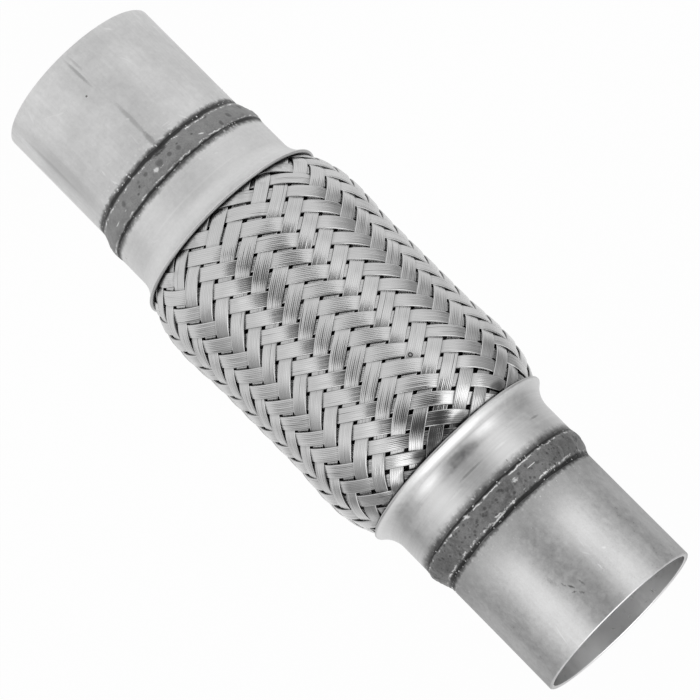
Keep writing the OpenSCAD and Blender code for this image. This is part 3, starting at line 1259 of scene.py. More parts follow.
@dataclass
class Collar:
    """A pressed collar: a straight neck and a trumpet flare with a rounded lip."""

    sizes: PipeSizes
    end: End
    finish: SteelFinish
    segments: int = 256
    arc_steps: int = 20
    lip_steps: int = 8
    spacing: float = 3.0
    unrest: float = 0.06
    waves_round: float = 2.1
    waves_along: float = 0.05
    waves_shift: float = 5.0

    def shape(self, angle: float, radius: float, height: float) -> tuple[float, float]:
        """Slight unrest of the pressed sheet.

        Args:
            angle: Angle of the point round the pipe, in radians.
            radius: Radius of the point, in millimetres.
            height: Height of the point from the pipe's middle, in millimetres.

        Returns:
            How far the point moves out and up, in millimetres.
        """
        x = self.waves_round * math.cos(angle) + self.waves_shift
        y = self.waves_round * math.sin(angle)
        return self.unrest * field(x, y, self.waves_along * height), 0.0

    def build(self) -> bpy.types.Object:
        """Makes the collar and lets it ride on its end.

        Returns:
            The finished collar.
        """
        s = self.sizes
        half = s.collar_wall / 2
        turns = [s.flare_turn * i / self.arc_steps for i in range(self.arc_steps + 1)]

        def arc(radius: float) -> list[tuple[float, float]]:
            """Points of one face of the flare.

            Args:
                radius: Radius of the face's arc.

            Returns:
                Radius and height of each point.
            """
            return [
                (s.flare_centre_r - radius * math.cos(a), s.flare_z - radius * math.sin(a)) for a in turns
            ]

        tip_r = s.flare_centre_r - s.flare_arc_r * math.cos(s.flare_turn)
        tip_z = s.flare_z - s.flare_arc_r * math.sin(s.flare_turn)
        sweep = [s.flare_turn - math.pi * i / self.lip_steps for i in range(1, self.lip_steps)]
        lip = [(tip_r + half * math.cos(a), tip_z + half * math.sin(a)) for a in sweep]
        outer = arc(s.flare_arc_r - half)
        inner = arc(s.flare_arc_r + half)
        profile = [(s.neck_r, s.joint_z)] + outer + lip + inner[::-1] + [(s.neck_in_r, s.joint_z)]
        turned = [(r, self.end.value * z) for r, z in profile]
        name = f"{self.end.word}_trumpet_collar"
        mesh = lathe(name, turned, self.segments, self.spacing, s.mid_z, self.shape)
        piece = add_object(name, mesh, self.finish.material(s))
        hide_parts(f"{self.end.word}_collar")
        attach(piece, self.end.body)
        report(piece)
        return piece


@dataclass
class WeldBead:
    """The bead that closes a collar onto its nipple, with spatter beside it."""

    sizes: PipeSizes
    end: End
    finish: WeldFinish
    lumps: float
    segments: int = 512
    bead_steps: int = 26
    spacing: float = 20.0
    lump_r: float = 30.0
    lump_waves: tuple[tuple[float, float], ...] = ((0.6, 0.28), (0.3, 0.8), (0.14, 2.0))
    crown_power: float = 0.7
    toe_sway: float = 0.55
    toe_waves: float = 0.13
    toe_height: float = 0.04
    root_depth: float = 0.15
    nipple_beads: int = 45
    nipple_throw: float = 9.0
    collar_beads: int = 22
    collar_throw: float = 6.0
    smallest_bead: float = 0.08
    largest_bead: float = 0.32

    def shape(self, angle: float, radius: float, height: float) -> tuple[float, float]:
        """Lumps of the bead's crown and the sway of its toes.

        Args:
            angle: Angle of the point round the pipe, in radians.
            radius: Radius of the point, in millimetres.
            height: Height of the point from the pipe's middle, in millimetres.

        Returns:
            How far the point moves out and up, in millimetres.
        """
        s = self.sizes
        away = abs(height)
        u = (away - s.joint_z + s.weld_on_collar) / (s.weld_on_collar + s.weld_on_tube)
        on_bead = min(1.0, max(0.0, u))
        margin = 0.02
        root = radius < s.weld_r(on_bead) - margin
        if root and margin < u < 1.0 - margin:
            return 0.0, 0.0
        x = self.lump_r * math.cos(angle)
        y = self.lump_r * math.sin(angle)
        end_shift = 40.0 * self.end.value
        toe_shift = end_shift + (3.0 if u > 0.5 else 9.0)
        sway = self.toe_sway * field(self.toe_waves * x, self.toe_waves * y, toe_shift)
        if root:
            return 0.0, sway
        waves = self.lump_waves
        bumps = sum(size * field(k * x, k * y, k * height + end_shift) for size, k in waves)
        crown = max(0.0, math.sin(math.pi * on_bead)) ** self.crown_power
        wall = s.neck_r if away < s.joint_z else s.tube_r
        return max(self.lumps * bumps * crown, wall + self.toe_height - radius), sway

    def build(self) -> bpy.types.Object:
        """Makes the bead and lets it ride on its end.

        Returns:
            The finished bead.
        """
        s = self.sizes
        sign = self.end.value
        span = s.weld_on_collar + s.weld_on_tube
        shares = [i / self.bead_steps for i in range(self.bead_steps + 1)]
        bead = [(s.weld_r(u), s.joint_z - s.weld_on_collar + u * span) for u in shares]
        root = [
            (s.tube_r - self.root_depth, s.joint_z + s.weld_on_tube),
            (s.tube_r - self.root_depth, s.joint_z + s.end_gap),
            (s.neck_in_r, s.joint_z - self.root_depth),
            (s.neck_r - self.root_depth, s.joint_z - s.weld_on_collar),
        ]
        turned = [(r, sign * z) for r, z in bead + root]
        name = f"{self.end.word}_weld_bead"
        mesh = lathe(name, turned, self.segments, self.spacing, s.mid_z, self.shape)
        across = mesh.attributes.new("across", "FLOAT", "POINT")
        heights = np.array([abs(v.co.z / MM - s.mid_z) for v in mesh.vertices])
        shares = np.clip((heights - s.joint_z + s.weld_on_collar) / span, 0.0, 1.0)
        across.data.foreach_set("value", shares.astype(np.float32))
        material = self.finish.material(s)
        piece = add_object(name, mesh, material)
        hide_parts(f"{self.end.word}_weld")
        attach(piece, self.end.body)
        report(piece)
        return piece

    def scatter(self, finish: SheetFinish) -> list[bpy.types.Object]:
        """Throws spatter beside both toes of the bead.

        Args:
            finish: Finish of the spatter.

        Returns:
            The spatter on the nipple and on the collar.
        """
        s = self.sizes
        material = finish.material(s)
        toes = {
            "nipple": (s.tube_r, s.joint_z + s.weld_on_tube, self.nipple_throw, self.nipple_beads),
            "collar": (s.neck_r, s.joint_z - s.weld_on_collar, -self.collar_throw, self.collar_beads),
        }
        pieces = []
        for seed, (wall, (radius, toe, reach, count)) in enumerate(toes.items()):
            inputs = {
                "Count": count, "Seed": 10 + seed + 5 * self.end.value, "Radius": radius,
                "From height": s.mid_z + self.end.value * (toe - 0.06 * reach),
                "To height": s.mid_z + self.end.value * (toe + reach),
                "Gathering": 4.0, "Smallest": self.smallest_bead, "Largest": self.largest_bead,
                "Material": material,
            }
            name = f"{self.end.word}_{wall}_spatter"
            piece = add_object(name, run_tree(name, spatter_tree(), inputs), material)
            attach(piece, self.end.body)
            report(piece)
            pieces.append(piece)
        return pieces


@dataclass
class Braid:
    """The wire braid: two families of flat strands, and plain cuffs under the collars."""

    sizes: PipeSizes
    finish: WireFinish
    strands: int = 24
    crossing_pitch: float = 7.06
    wires: int = 8
    reach: float = 16.0
    steps_per_crossing: int = 5
    fill: float = 0.83
    loose_fill: float = 0.76
    amplitude: float = 0.55
    steepness: float = 0.9
    wire_r: float = 0.29
    unevenness: float = 1.0
    cuff_wall: float = 0.55
    cuff_overlap: float = 1.5
    cuff_segments: int = 96
    cuff_spacing: float = 20.0

    def row_step(self) -> float:
        """Height between rows of crossings."""
        woven_z = (self.sizes.lip_z + self.sizes.flare_z) / 2
        return woven_z / round(2 * woven_z / self.crossing_pitch)

    def inputs(self, lay: Lay, first: int, count: int, material: bpy.types.Material) -> dict[str, Feed]:
        """Inputs of the strand tree for a run of strands.

        Args:
            lay: Way in which the strands climb round the pipe.
            first: Number of the first strand.
            count: Strands in the run.
            material: Material of the wire.

        Returns:
            Value of each input of the tree, by name.
        """
        s = self.sizes
        return {
            "First strand": first, "Strand count": count, "Strands each way": self.strands,
            "Turn": float(lay.value), "Wires": self.wires,
            "Steps": round(2 * self.reach * self.steps_per_crossing) + 1, "Reach": self.reach,
            "Row step": self.row_step(), "Fill": self.fill, "Loose fill": self.loose_fill,
            "Amplitude": self.amplitude, "Steepness": self.steepness, "Wire radius": self.wire_r,
            "Middle height": s.mid_z, "Shoulder radius": s.shoulder_r, "Shoulder rise": s.shoulder_rise,
            "Shoulder length": s.shoulder_l, "Shoulder power": s.shoulder_power, "Waist dip": s.waist_dip,
            "Waist length": s.waist_l, "Lip height": s.lip_z, "Flare height": s.flare_z,
            "Flare centre radius": s.flare_centre_r, "Braid arc radius": s.braid_arc_r,
            "Unevenness": self.unevenness, "Material": material,
        }

    def build(self) -> list[bpy.types.Object]:
        """Weaves the strands in four runs and adds the cuffs.

        Returns:
            The four runs of strands and both cuffs.
        """
        material = self.finish.material(self.sizes)
        half = self.strands // 2
        pieces = []

        # The falling strands are numbered whole turns later, so that their unevenness is their own
        for lay, start in ((Lay.RISING, 0), (Lay.FALLING, 4 * self.strands)):
            for first in (0, half):
                name = f"braid_{lay.name.lower()}_{first}"
                mesh = run_tree(name, strand_tree(), self.inputs(lay, start + first, half, material))
                close_holes(mesh)
                piece = add_object(name, mesh, material)
                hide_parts("outer_braid")
                bend(piece, self.sizes)
                report(piece)
                pieces.append(piece)
        return pieces + [self.cuff(end, material) for end in End]

    def cuff(self, end: End, material: bpy.types.Material) -> bpy.types.Object:
        """Makes the squeezed end of the braid inside one collar.

        Args:
            end: End of the pipe at which the cuff lies.
            material: Material of the wire.

        Returns:
            The finished cuff.
        """
        s = self.sizes
        start = s.flare_z - self.cuff_overlap
        top = s.joint_z - s.end_gap
        inside = s.braid_cuff_r - self.cuff_wall
        profile = [(inside, start), (s.braid_cuff_r, start), (s.braid_cuff_r, top), (inside, top)]
        turned = [(r, end.value * z) for r, z in profile]
        name = f"{end.word}_braid_cuff"
        mesh = lathe(name, turned, self.cuff_segments, self.cuff_spacing, s.mid_z)
        piece = add_object(name, mesh, material)
        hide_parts("outer_braid")
        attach(piece, end.body)
        report(piece)
        return piece


@dataclass
class InnerSheet:
    """A corrugated sheet inside the braid: the bellows or the interlocked liner."""

    sizes: PipeSizes
    finish: SheetFinish
    node: str
    slot: str
    rows: int
    segments: int
    cuff_r: float
    root_r: float
    crest_r: float
    pitch: float
    wave_z: float
    steepness: float
    wall: float = 0.35

    def build(self) -> bpy.types.Object:
        """Makes the sheet and bakes its placement into its mesh.

        Returns:
            The finished sheet.
        """
        s = self.sizes
        material = self.finish.material(s)
        inputs = {
            "Rows": self.rows, "Segments": self.segments, "Middle height": s.mid_z,
            "End height": s.joint_z - s.end_gap, "Cuff height": s.lip_z, "Cuff radius": self.cuff_r,
            "Root radius": self.root_r, "Crest radius": self.crest_r, "Pitch": self.pitch,
            "Wave height": self.wave_z, "Steepness": self.steepness, "Wall": self.wall, "Material": material,
        }
        name = f"{self.node}_sheet"
        piece = add_object(name, run_tree(name, corrugated_tree(), inputs), material)
        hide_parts(self.node)
        bend(piece, s)
        report(piece)
        return piece


def bend(piece: bpy.types.Object, sizes: PipeSizes) -> None:
    """Bakes a piece's placement into its mesh; the piece is not made to bend.

    Args:
        piece: Piece that crosses the flex section.
        sizes: Sizes of the pipe.
    """
    low = (0.0, 0.0, (sizes.mid_z - sizes.lip_z) * MM)
    high = (0.0, 0.0, (sizes.mid_z + sizes.lip_z) * MM)
    End.INLET.body
    End.OUTLET.body
    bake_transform(piece)


# Studio


@cache
def studio_group() -> bpy.types.NodeTree:
    """Shader group with the light and dark screens that stand round the pipe, by direction.

    Angles are counted from the front, as a share of half a turn. A dark gap stands there between two lit
    screens: soft in the floor, wide at the foot of the screens and narrower above it.

    Returns:
        The group, which is made only once.
    """
    inputs = {"Direction": "NodeSocketVector", "Shift": 0.0}
    outputs = {"Floor": "NodeSocketFloat", "Foot": "NodeSocketFloat", "Walls": "NodeSocketFloat"}
    kit = NodeKit.group("Studio screens", "ShaderNodeTree", inputs, outputs)
    x, y, _ = kit.parts(kit.given("Direction"))
    turn = kit.math("ARCTAN2", x * -1.0, y * -1.0) / math.pi - kit.given("Shift") / 180.0
    back = [(0.6, 0.3), (0.75, 0.68), (0.9, 0.95)]
    runs = {
        "Floor": [(0.0, 0.3), (0.07, 0.36), (0.2, 1.05), (0.29, 1.05), (0.45, 0.55)] + back,
        "Foot": [(0.0, 0.08), (0.165, 0.1), (0.2, 0.9), (0.3, 0.9), (0.4, 0.5)] + back,
        "Walls": [(0.0, 0.06), (0.11, 0.08), (0.165, 0.7), (0.3, 0.7), (0.4, 0.5)] + back,
    }
    levels = {}
    for label, stops in runs.items():
        ramp = kit.add("ShaderNodeValToRGB", {0: abs(turn)})
        elements = ramp.color_ramp.elements
        while len(elements) < len(stops):
            elements.new(0.5)
        for element, (position, level) in zip(elements, stops):
            element.position = position
            element.color = grey(level)
        ramp.color_ramp.interpolation = "EASE"
        levels[label] = ramp.outputs["Color"]
    kit.leave(levels)
    return kit.tree


@dataclass(frozen=True)
class Lamp:
    """One soft square lamp."""

    name: str
    place: tuple[float, float, float]
    size: float
    power: float

    def hang(self, aim: Vector) -> None:
        """Hangs the lamp so that it faces a point.

        Args:
            aim: Point that the lamp faces, in metres.
        """
        light = bpy.data.lights.new(self.name, "AREA")
        light.shape = "SQUARE"
        light.size = self.size
        light.energy = self.power
        holder = bpy.data.objects.new(self.name, light)
        holder.location = self.place
        holder.rotation_euler = (aim - Vector(self.place)).to_track_quat("-Z", "Y").to_euler()
        bpy.context.scene.collection.objects.link(holder)


LAMPS = (
    Lamp("key_left", (-1.1, -1.0, 1.0), 0.9, 2.2),
    Lamp("key_right", (1.1, -1.0, 1.0), 0.9, 2.2),
    Lamp("ceiling", (0.0, 0.1, 1.9), 1.6, 6.0),
)


@dataclass
class Studio:
    """Pale floor, world, soft lamps and the camera, in metres."""

    floor_half: float = 9.0
    floor_z: float = -0.0002
    floor_tone: float = 0.8
    floor_white: float = 0.965
    camera_distance: float = 1.292
    camera_tilt: float = math.radians(12.5)
    aim_z: float = 0.1298
    roll: float = 0.0037
    sensor: float = 36.0
    focal_px: float = 3995.0
    photo_px: float = 700.0
    gap_shift: float = 6.0
    foot_shift: float = 2.5
    foot_line: float = 0.215
    foot_soft: float = 0.02
    ceiling: float = 0.75

    @property
    def aim(self) -> Vector:
        """Point of the pipe's axis that camera and lamps face."""
        return Vector((0.0, 0.0, self.aim_z))

    def floor(self) -> bpy.types.Object:
        """Makes the floor, white to the eye and lit by the screens in the metal.

        Returns:
            The floor.
        """
        mesh = bpy.data.meshes.new("floor")
        h = self.floor_half
        z = self.floor_z
        mesh.from_pydata([(-h, -h, z), (h, -h, z), (h, h, z), (-h, h, z)], [], [(0, 1, 2, 3)])
        made = bpy.data.materials.new("pale_floor")
        made.use_nodes = True
        made.node_tree.nodes.clear()
        kit = NodeKit(made.node_tree)
        path = kit.add("ShaderNodeLightPath")

        # What the metal mirrors: plain under the pipe, further out the screens
        x, y, _ = kit.parts(kit.add("ShaderNodeTexCoord").outputs["Object"])
        away = (x * x + y * y).do("SQRT")
        screens = kit.use(studio_group(), {"Direction": kit.vector(x, y, 0.0)})["Floor"]
        level = self.floor_tone + (screens - self.floor_tone) * away.ease(0.4, 0.95)

        # Rays that come in low see the wide gap at the foot of the screens
        ray_x, ray_y, ray_z = kit.parts(kit.add("ShaderNodeNewGeometry").outputs["Incoming"])
        feeds = {"Direction": kit.vector(ray_x * -1.0, ray_y * -1.0, 0.0), "Shift": self.foot_shift}
        foot = kit.use(studio_group(), feeds)["Foot"]
        low = ray_z.ease(self.foot_line - self.foot_soft, self.foot_line, 1.0, 0.0)
        low = low * away.ease(0.28, 0.4) * away.ease(0.8, 1.0, 1.0, 0.0)
        level = level + (foot - level) * low
        plain = kit.add("ShaderNodeBsdfDiffuse", {"Color": grey(self.floor_tone)})
        white = kit.add("ShaderNodeEmission", {"Color": grey(1.0), "Strength": 1.0})
        mirrored = kit.add("ShaderNodeEmission", {"Color": kit.vector(level, level, level), "Strength": 1.0})
        seen = Value(kit, path.outputs["Is Camera Ray"]) * self.floor_white
        direct = kit.add("ShaderNodeMixShader", {0: seen, 1: plain.outputs[0], 2: white.outputs[0]})
        in_metal = kit.math("MAXIMUM", path.outputs["Is Glossy Ray"], path.outputs["Is Transmission Ray"])
        whole = kit.add("ShaderNodeMixShader", {0: in_metal, 1: direct.outputs[0], 2: mirrored.outputs[0]})
        kit.add("ShaderNodeOutputMaterial", {"Surface": whole.outputs[0]})
        piece = add_object("studio_floor", mesh, made)
        return piece

    def world(self) -> None:
        """Sets the screens and the pale ceiling round the pipe."""
        world = bpy.data.worlds.new("studio_world")
        bpy.context.scene.world = world
        world.use_nodes = True
        world.node_tree.nodes.clear()
        kit = NodeKit(world.node_tree)
        direction = kit.add("ShaderNodeTexCoord").outputs["Generated"]
        _, _, z = kit.parts(direction)
        feeds = {"Direction": direction, "Shift": self.gap_shift}
        screens = kit.use(studio_group(), feeds)["Walls"]
        feeds = {"Direction": direction, "Shift": self.foot_shift}
        foot = kit.use(studio_group(), feeds)["Foot"]
        level = foot + (screens - foot) * z.ease(0.05, 0.2)
        level = level + (self.ceiling - level) * z.ease(0.6, 0.85)
        path = kit.add("ShaderNodeLightPath")
        level = kit.math("MAXIMUM", level, path.outputs["Is Camera Ray"])
        shine = kit.add("ShaderNodeBackground", {"Color": kit.vector(level, level, level), "Strength": 1.0})
        kit.add("ShaderNodeOutputWorld", {"Surface": shine.outputs[0]})

    def camera(self) -> None:
        """Sets the camera at the photograph's angle, turned so that the pipe lies on the diagonal."""
        tilt = self.camera_tilt
        back = Vector((0.0, -math.cos(tilt), math.sin(tilt)))
        along = Vector((0.0, math.sin(tilt), math.cos(tilt)))
        side = Vector((-1.0, 0.0, 0.0))
        along_rolled = along + self.roll * side
        side_rolled = side - self.roll * along
        right = (along_rolled + side_rolled).normalized()
        up = (side_rolled - along_rolled).normalized()
        camera = bpy.data.cameras.new("photo_camera")
        camera.lens = self.sensor * self.focal_px / self.photo_px
        camera.sensor_width = self.sensor
        camera.sensor_fit = "HORIZONTAL"
        camera.clip_end = 50.0
        holder = bpy.data.objects.new("photo_camera", camera)
        turn = Matrix((right, up, back)).transposed().to_4x4()
        place = self.aim + self.camera_distance * back
        holder.matrix_world = Matrix.Translation(place) @ turn
        bpy.context.scene.collection.objects.link(holder)
        bpy.context.scene.camera = holder

    def build(self) -> None:
        """Sets up the whole studio."""
        self.floor()
        self.world()
        for lamp in LAMPS:
            lamp.hang(self.aim)
        self.camera()


# Finishes of this pipe


INLET_NIPPLE_MARKS = (
    Mark(1.0, -118.5, 8.0, 0.8, 88.0, 0.4, 0.55),
    Mark(4.2, -121.5, 4.5, 0.6, 88.0, 0.48, 0.4),
    Mark(2.6, -119.5, 6.0, 0.5, 88.0, 0.92, 0.35),
    Mark(4.5, -95.0, 11.0, 1.1, 90.0, 0.42, 0.45),
    Mark(4.2, -86.0, 4.5, 1.3, 90.0, 0.3, 0.5),
    Mark(29.5, -111.5, 3.6, 0.35, 68.0, 0.98, 0.75, -0.08),
    Mark(35.8, -124.0, 1.9, 0.5, 40.0, 0.98, 0.8),
    Mark(-42.0, -121.5, 2.7, 0.6, 118.0, 0.98, 0.75, -0.05),
    Mark(-29.0, -115.6, 7.0, 0.24, 33.0, 0.95, 0.55, -0.012),
    Mark(-25.0, -114.1, 2.2, 0.28, 20.0, 0.98, 0.6),
    Mark(-5.0, -111.2, 0.55, 0.5, 0.0, 0.1, 0.95),
    Mark(3.0, -96.0, 0.8, 0.5, 50.0, 0.98, 0.8),
    Mark(-2.8, -89.0, 3.6, 0.35, 95.0, 0.97, 0.5),
    Mark(17.5, -86.4, 2.4, 0.3, 4.0, 0.98, 0.75, 0.0, 0.8),
    Mark(19.5, -85.4, 2.2, 0.25, 3.0, 0.98, 0.65, 0.0, 0.8),
    Mark(18.0, -84.0, 1.0, 0.8, 40.0, 0.98, 0.7, 0.0, 1.2),
    Mark(9.2, -83.8, 1.6, 0.45, 25.0, 0.98, 0.75, 0.0, 0.8),
    Mark(29.2, -84.6, 2.2, 0.5, 58.0, 0.98, 0.8, 0.0, 0.9),
    Mark(-32.2, -90.2, 1.5, 0.35, 95.0, 0.98, 0.8),
    Mark(-25.0, -90.7, 2.0, 0.25, 17.0, 0.96, 0.5),
    Mark(-31.2, -85.2, 1.9, 0.5, 70.0, 0.98, 0.8, 0.0, 0.9),
    # The last three are painted reflection bands along the tube: two darker ones and a bright one near its
    # edge
    Mark(-61.0, -108.0, 17.0, 1.3, 88.0, 0.42, 0.3),
    Mark(-57.0, -104.0, 30.0, 6.0, 90.0, 0.5, 0.35, 0.0, 0.2),
    Mark(-86.0, -104.0, 30.0, 5.0, 90.0, 1.0, 0.8, 0.0, 0.2),
)
OUTLET_NIPPLE_MARKS = (
    Mark(-5.5, 112.5, 1.4, 0.3, 62.0, 0.12, 0.8, 0.0, 1.6),
    Mark(-6.5, 114.2, 1.1, 0.32, 30.0, 0.15, 0.75, 0.0, 1.8),
    Mark(0.5, 113.5, 1.5, 0.3, 80.0, 0.2, 0.6, 0.0, 1.6),
    Mark(-8.0, 110.4, 1.3, 0.4, 70.0, 0.2, 0.55, 0.0, 2.0),
    Mark(-3.4, 116.0, 1.2, 0.35, 55.0, 0.2, 0.6, 0.0, 2.0),
    Mark(-12.0, 107.0, 3.0, 0.8, 75.0, 0.4, 0.4, 0.0, 1.6),
    Mark(-31.5, 120.5, 5.4, 0.22, 103.0, 1.0, 0.8, 0.012),
    Mark(-50.0, 106.0, 1.3, 0.25, 70.0, 1.0, 0.7),
    Mark(-38.5, 112.0, 1.1, 0.22, 100.0, 1.0, 0.6),
    Mark(17.0, 104.5, 2.4, 0.25, 100.0, 1.0, 0.6, 0.0, 0.9),
    Mark(14.5, 108.0, 2.0, 0.3, 60.0, 1.0, 0.6, 0.0, 1.0),
    Mark(15.0, 114.0, 1.5, 0.35, 90.0, 1.0, 0.7, 0.0, 0.9),
    Mark(25.0, 110.5, 0.9, 0.5, 30.0, 1.0, 0.7, 0.0, 1.2),
    Mark(56.5, 106.5, 1.0, 0.7, 80.0, 0.98, 0.6, 0.0, 1.0),
    Mark(53.5, 110.7, 1.6, 0.25, 30.0, 0.98, 0.5),
    Mark(50.0, 114.2, 0.8, 0.6, 0.0, 0.98, 0.5, 0.0, 1.0),
    Mark(58.5, 124.0, 1.6, 0.8, 20.0, 0.98, 0.5, 0.0, 1.3),
)
INLET_COLLAR_MARKS = (
    Mark(0.0, -63.1, 32.0, 0.5, 0.0, 1.0, 0.45, 0.0, 0.4),
    Mark(16.5, -69.5, 0.8, 0.45, 60.0, 1.0, 0.8),
    Mark(-6.5, -69.3, 1.0, 0.25, 80.0, 0.98, 0.6),
    Mark(-38.0, -62.0, 1.8, 0.6, 30.0, 1.0, 0.7, 0.0, 1.0),
    Mark(26.0, -67.5, 1.0, 0.35, 20.0, 1.0, 0.7, 0.0, 0.8),
)
OUTLET_COLLAR_MARKS = (
    # The first mark is a painted highlight, the bright band along the lip, and the second a darker line of
    # painted reflection beside it
    Mark(8.0, 54.6, 29.0, 1.0, 0.0, 1.0, 0.85, 0.0, 0.1),
    Mark(4.0, 56.2, 22.0, 0.5, 0.0, 0.4, 0.35, 0.0, 0.2),
    Mark(0.0, 64.6, 6.2, 0.6, 0.0, 0.36, 0.6),
    Mark(55.0, 64.2, 3.4, 0.55, 0.0, 0.36, 0.55),
    Mark(22.5, 64.9, 3.8, 0.6, 0.0, 1.0, 0.5),
    Mark(-14.0, 66.4, 4.0, 0.5, 0.0, 1.0, 0.35),
    Mark(19.0, 70.0, 0.7, 0.35, 90.0, 0.25, 0.7),
    Mark(-3.0, 70.7, 0.5, 0.35, 60.0, 1.0, 0.7),
    Mark(-10.0, 71.2, 0.8, 0.45, 60.0, 1.0, 0.7),
)
INLET_WELD_MARKS = (
    # Bright marks are painted highlights on lumps and along the toes; dark marks are blotches of the weld
    # metal
    Mark(-6.0, -76.7, 1.3, 1.1, 0.0, 1.0, 0.95, 0.0, 0.9),
    Mark(-2.0, -77.6, 2.0, 1.7, 0.0, 0.13, 0.65, 0.0, 0.3),
    Mark(3.0, -80.9, 4.2, 1.5, 0.0, 0.05, 0.85, 0.0, 0.6),
    Mark(-35.5, -78.0, 1.6, 1.5, 0.0, 0.13, 0.65, 0.0, 0.3),
    Mark(-20.0, -77.2, 0.8, 0.7, 0.0, 0.08, 0.75),
    Mark(-23.5, -75.7, 0.75, 0.65, 0.0, 0.1, 0.7),
    Mark(23.5, -77.7, 0.6, 0.5, 0.0, 0.08, 0.75),
    Mark(13.0, -78.5, 0.6, 0.5, 0.0, 0.1, 0.7),
    Mark(27.7, -75.8, 1.3, 0.4, 28.0, 1.0, 0.9),
)
OUTLET_WELD_MARKS = (
    # Bright marks are painted glints along the toes and on lumps; dark marks are blotches of the weld metal
    Mark(25.7, 73.6, 1.9, 0.4, 5.0, 1.0, 0.9, 0.0, 0.7),
    Mark(16.5, 73.9, 2.4, 0.32, 4.0, 1.0, 0.9, 0.0, 0.8),
    Mark(-4.2, 73.6, 1.4, 0.4, 7.0, 1.0, 0.9, 0.0, 0.7),
    Mark(-10.0, 73.8, 1.9, 0.38, 10.0, 1.0, 0.9, 0.0, 0.8),
    Mark(-19.5, 73.8, 1.5, 0.7, 45.0, 0.95, 0.9, 0.0, 0.7),
    Mark(14.0, 76.2, 1.2, 0.9, 20.0, 0.95, 0.9, 0.0, 1.3),
    Mark(-6.8, 81.2, 5.0, 0.4, -3.5, 1.0, 0.95, 0.0, 0.8),
    Mark(31.0, 80.5, 0.6, 0.5, 0.0, 1.0, 0.9),
    Mark(5.0, 81.0, 0.6, 0.5, 0.0, 1.0, 0.8),
    Mark(4.0, 75.5, 1.1, 1.0, 0.0, 0.1, 0.6),
    Mark(7.0, 76.7, 1.2, 1.0, 0.0, 0.1, 0.6),
    Mark(6.0, 79.0, 0.8, 0.8, 0.0, 0.1, 0.6),
    Mark(-10.5, 77.5, 1.5, 1.0, 0.0, 0.1, 0.65),
    Mark(-17.0, 77.0, 0.9, 0.8, 0.0, 0.1, 0.6),
    Mark(31.5, 76.7, 1.3, 0.7, 20.0, 0.1, 0.6),
)
BRAID_MARKS = (
    # Dark marks just under the outlet lip: smudges, and painted shade under the lip at the front
    Mark(-12.0, 50.2, 3.0, 1.4, 20.0, 0.1, 0.7, 0.0, 1.0),
    Mark(-8.0, 51.0, 6.0, 2.0, 0.0, 0.05, 0.75, 0.0, 0.8),
    Mark(5.5, 49.6, 4.0, 2.4, 80.0, 0.05, 0.7, 0.0, 0.8),
    Mark(14.0, 50.6, 5.0, 2.0, 0.0, 0.05, 0.75, 0.0, 0.8),
    Mark(-24.5, 51.0, 4.0, 1.5, 10.0, 0.06, 0.6, 0.0, 0.8),
    Mark(43.0, 50.4, 5.0, 1.8, 0.0, 0.05, 0.6, 0.0, 0.8),
)


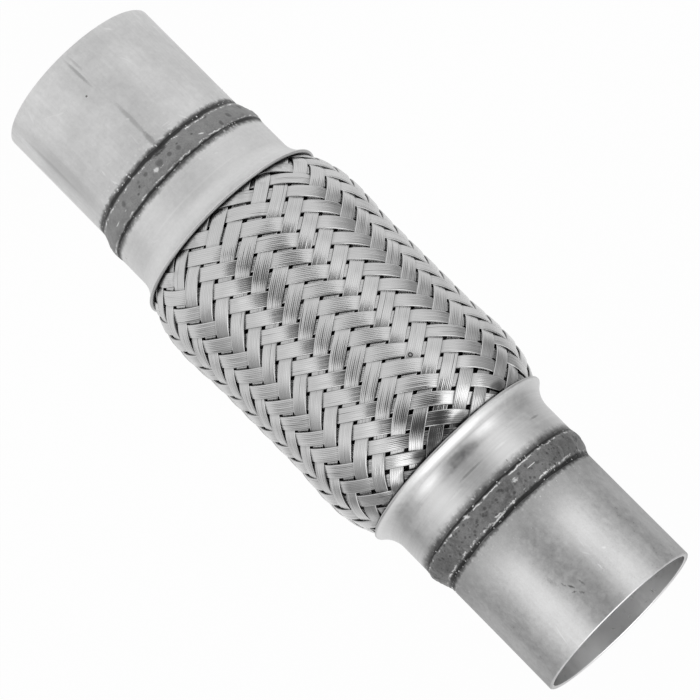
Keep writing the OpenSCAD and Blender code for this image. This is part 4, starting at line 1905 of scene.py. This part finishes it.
def finishes(sizes: PipeSizes) -> dict[str, SteelFinish | WeldFinish | WireFinish | SheetFinish]:
    """Finish of each sub-assembly, by its name.

    Args:
        sizes: Sizes of the pipe.

    Returns:
        The finish for each name.
    """
    toe = sizes.joint_z + sizes.weld_on_tube
    neck = sizes.joint_z - sizes.weld_on_collar
    lip = sizes.flare_z - sizes.flare_l
    return {
        "inlet_nipple": SteelFinish(
            "inlet_nipple_steel", tone=0.86, roughness=0.56, radius=sizes.tube_r, weld_height=-toe,
            weld_reach=1.9, streaks=0.16, clouds=0.55, mottle=0.4, weld_specks=0.9, bore_painted_light=0.8,
            marks=INLET_NIPPLE_MARKS,
        ),
        "outlet_nipple": SteelFinish(
            "outlet_nipple_steel", tone=0.77, roughness=0.34, radius=sizes.tube_r, weld_height=toe,
            weld_reach=1.4, streaks=0.2, clouds=0.5, mottle=0.6, stain=0.8, haze=0.2, weld_specks=0.3,
            rim=0.5, fine=0.3, bore_painted_light=0.8, marks=OUTLET_NIPPLE_MARKS,
        ),
        "inlet_collar": SteelFinish(
            "inlet_collar_steel", tone=0.9, roughness=0.54, radius=sizes.neck_r, weld_height=-neck,
            weld_reach=2.1, round_share=1.0, streaks=0.12, weld_specks=0.5, lip_height=lip, lip_shade=0.3,
            marks=INLET_COLLAR_MARKS,
        ),
        "outlet_collar": SteelFinish(
            "outlet_collar_steel", tone=0.82, roughness=0.37, radius=sizes.neck_r, weld_height=neck,
            weld_reach=3.4, round_share=1.0, streaks=0.3, weld_specks=0.3, lip_height=lip + 0.1,
            lip_shade=0.25, rim=0.85, marks=OUTLET_COLLAR_MARKS,
        ),
        "inlet_weld": WeldFinish(
            "inlet_weld_metal", tone=0.4, blotches=0.2, blotch_scale=0.3, radius=sizes.neck_r,
            marks=INLET_WELD_MARKS,
        ),
        "outlet_weld": WeldFinish(
            "outlet_weld_metal", tone=0.31, blotches=0.75, blotch_scale=0.65, radius=sizes.neck_r,
            marks=OUTLET_WELD_MARKS,
        ),
        "spatter": SheetFinish("spatter_metal", tone=0.9, roughness=0.3),
        "braid": WireFinish("braid_wire_steel", tone=0.72, roughness=0.2, wires=8, marks=BRAID_MARKS),
        # The bellows' dark tone is painted shade for the inside of the braid
        "bellows": SheetFinish("bellows_steel", tone=0.2, roughness=0.5),
        "liner": SheetFinish("liner_steel", tone=0.5, roughness=0.4),
    }


def main() -> None:
    logging.basicConfig(level=logging.INFO, format="%(message)s")
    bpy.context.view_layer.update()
    sizes = PipeSizes.from_frame()
    finish = finishes(sizes)
    lumps = {End.INLET: 0.5, End.OUTLET: 0.75}
    Studio().build()
    for end in End:
        Nipple(sizes, end, finish[f"{end.word}_nipple"]).build()
        Collar(sizes, end, finish[f"{end.word}_collar"]).build()
        bead = WeldBead(sizes, end, finish[f"{end.word}_weld"], lumps[end])
        bead.build()
        bead.scatter(finish["spatter"])
    Braid(sizes, finish["braid"]).build()
    liner_cuff_r = sizes.bore_r + 0.7
    InnerSheet(
        sizes, finish["bellows"], "bellows", "bellows_sheet", rows=150, segments=72,
        cuff_r=liner_cuff_r + 0.5, root_r=liner_cuff_r + 1.45, crest_r=sizes.shoulder_r - 2.6,
        pitch=5.75, wave_z=43.125, steepness=1.5,
    ).build()
    InnerSheet(
        sizes, finish["liner"], "inner_liner", "liner_strip", rows=240, segments=96,
        cuff_r=liner_cuff_r, root_r=liner_cuff_r, crest_r=liner_cuff_r + 0.7,
        pitch=8.0, wave_z=44.0, steepness=6.0,
    ).build()
    bpy.context.scene.view_settings.view_transform = "Standard"


if __name__ == "__main__":
    main()
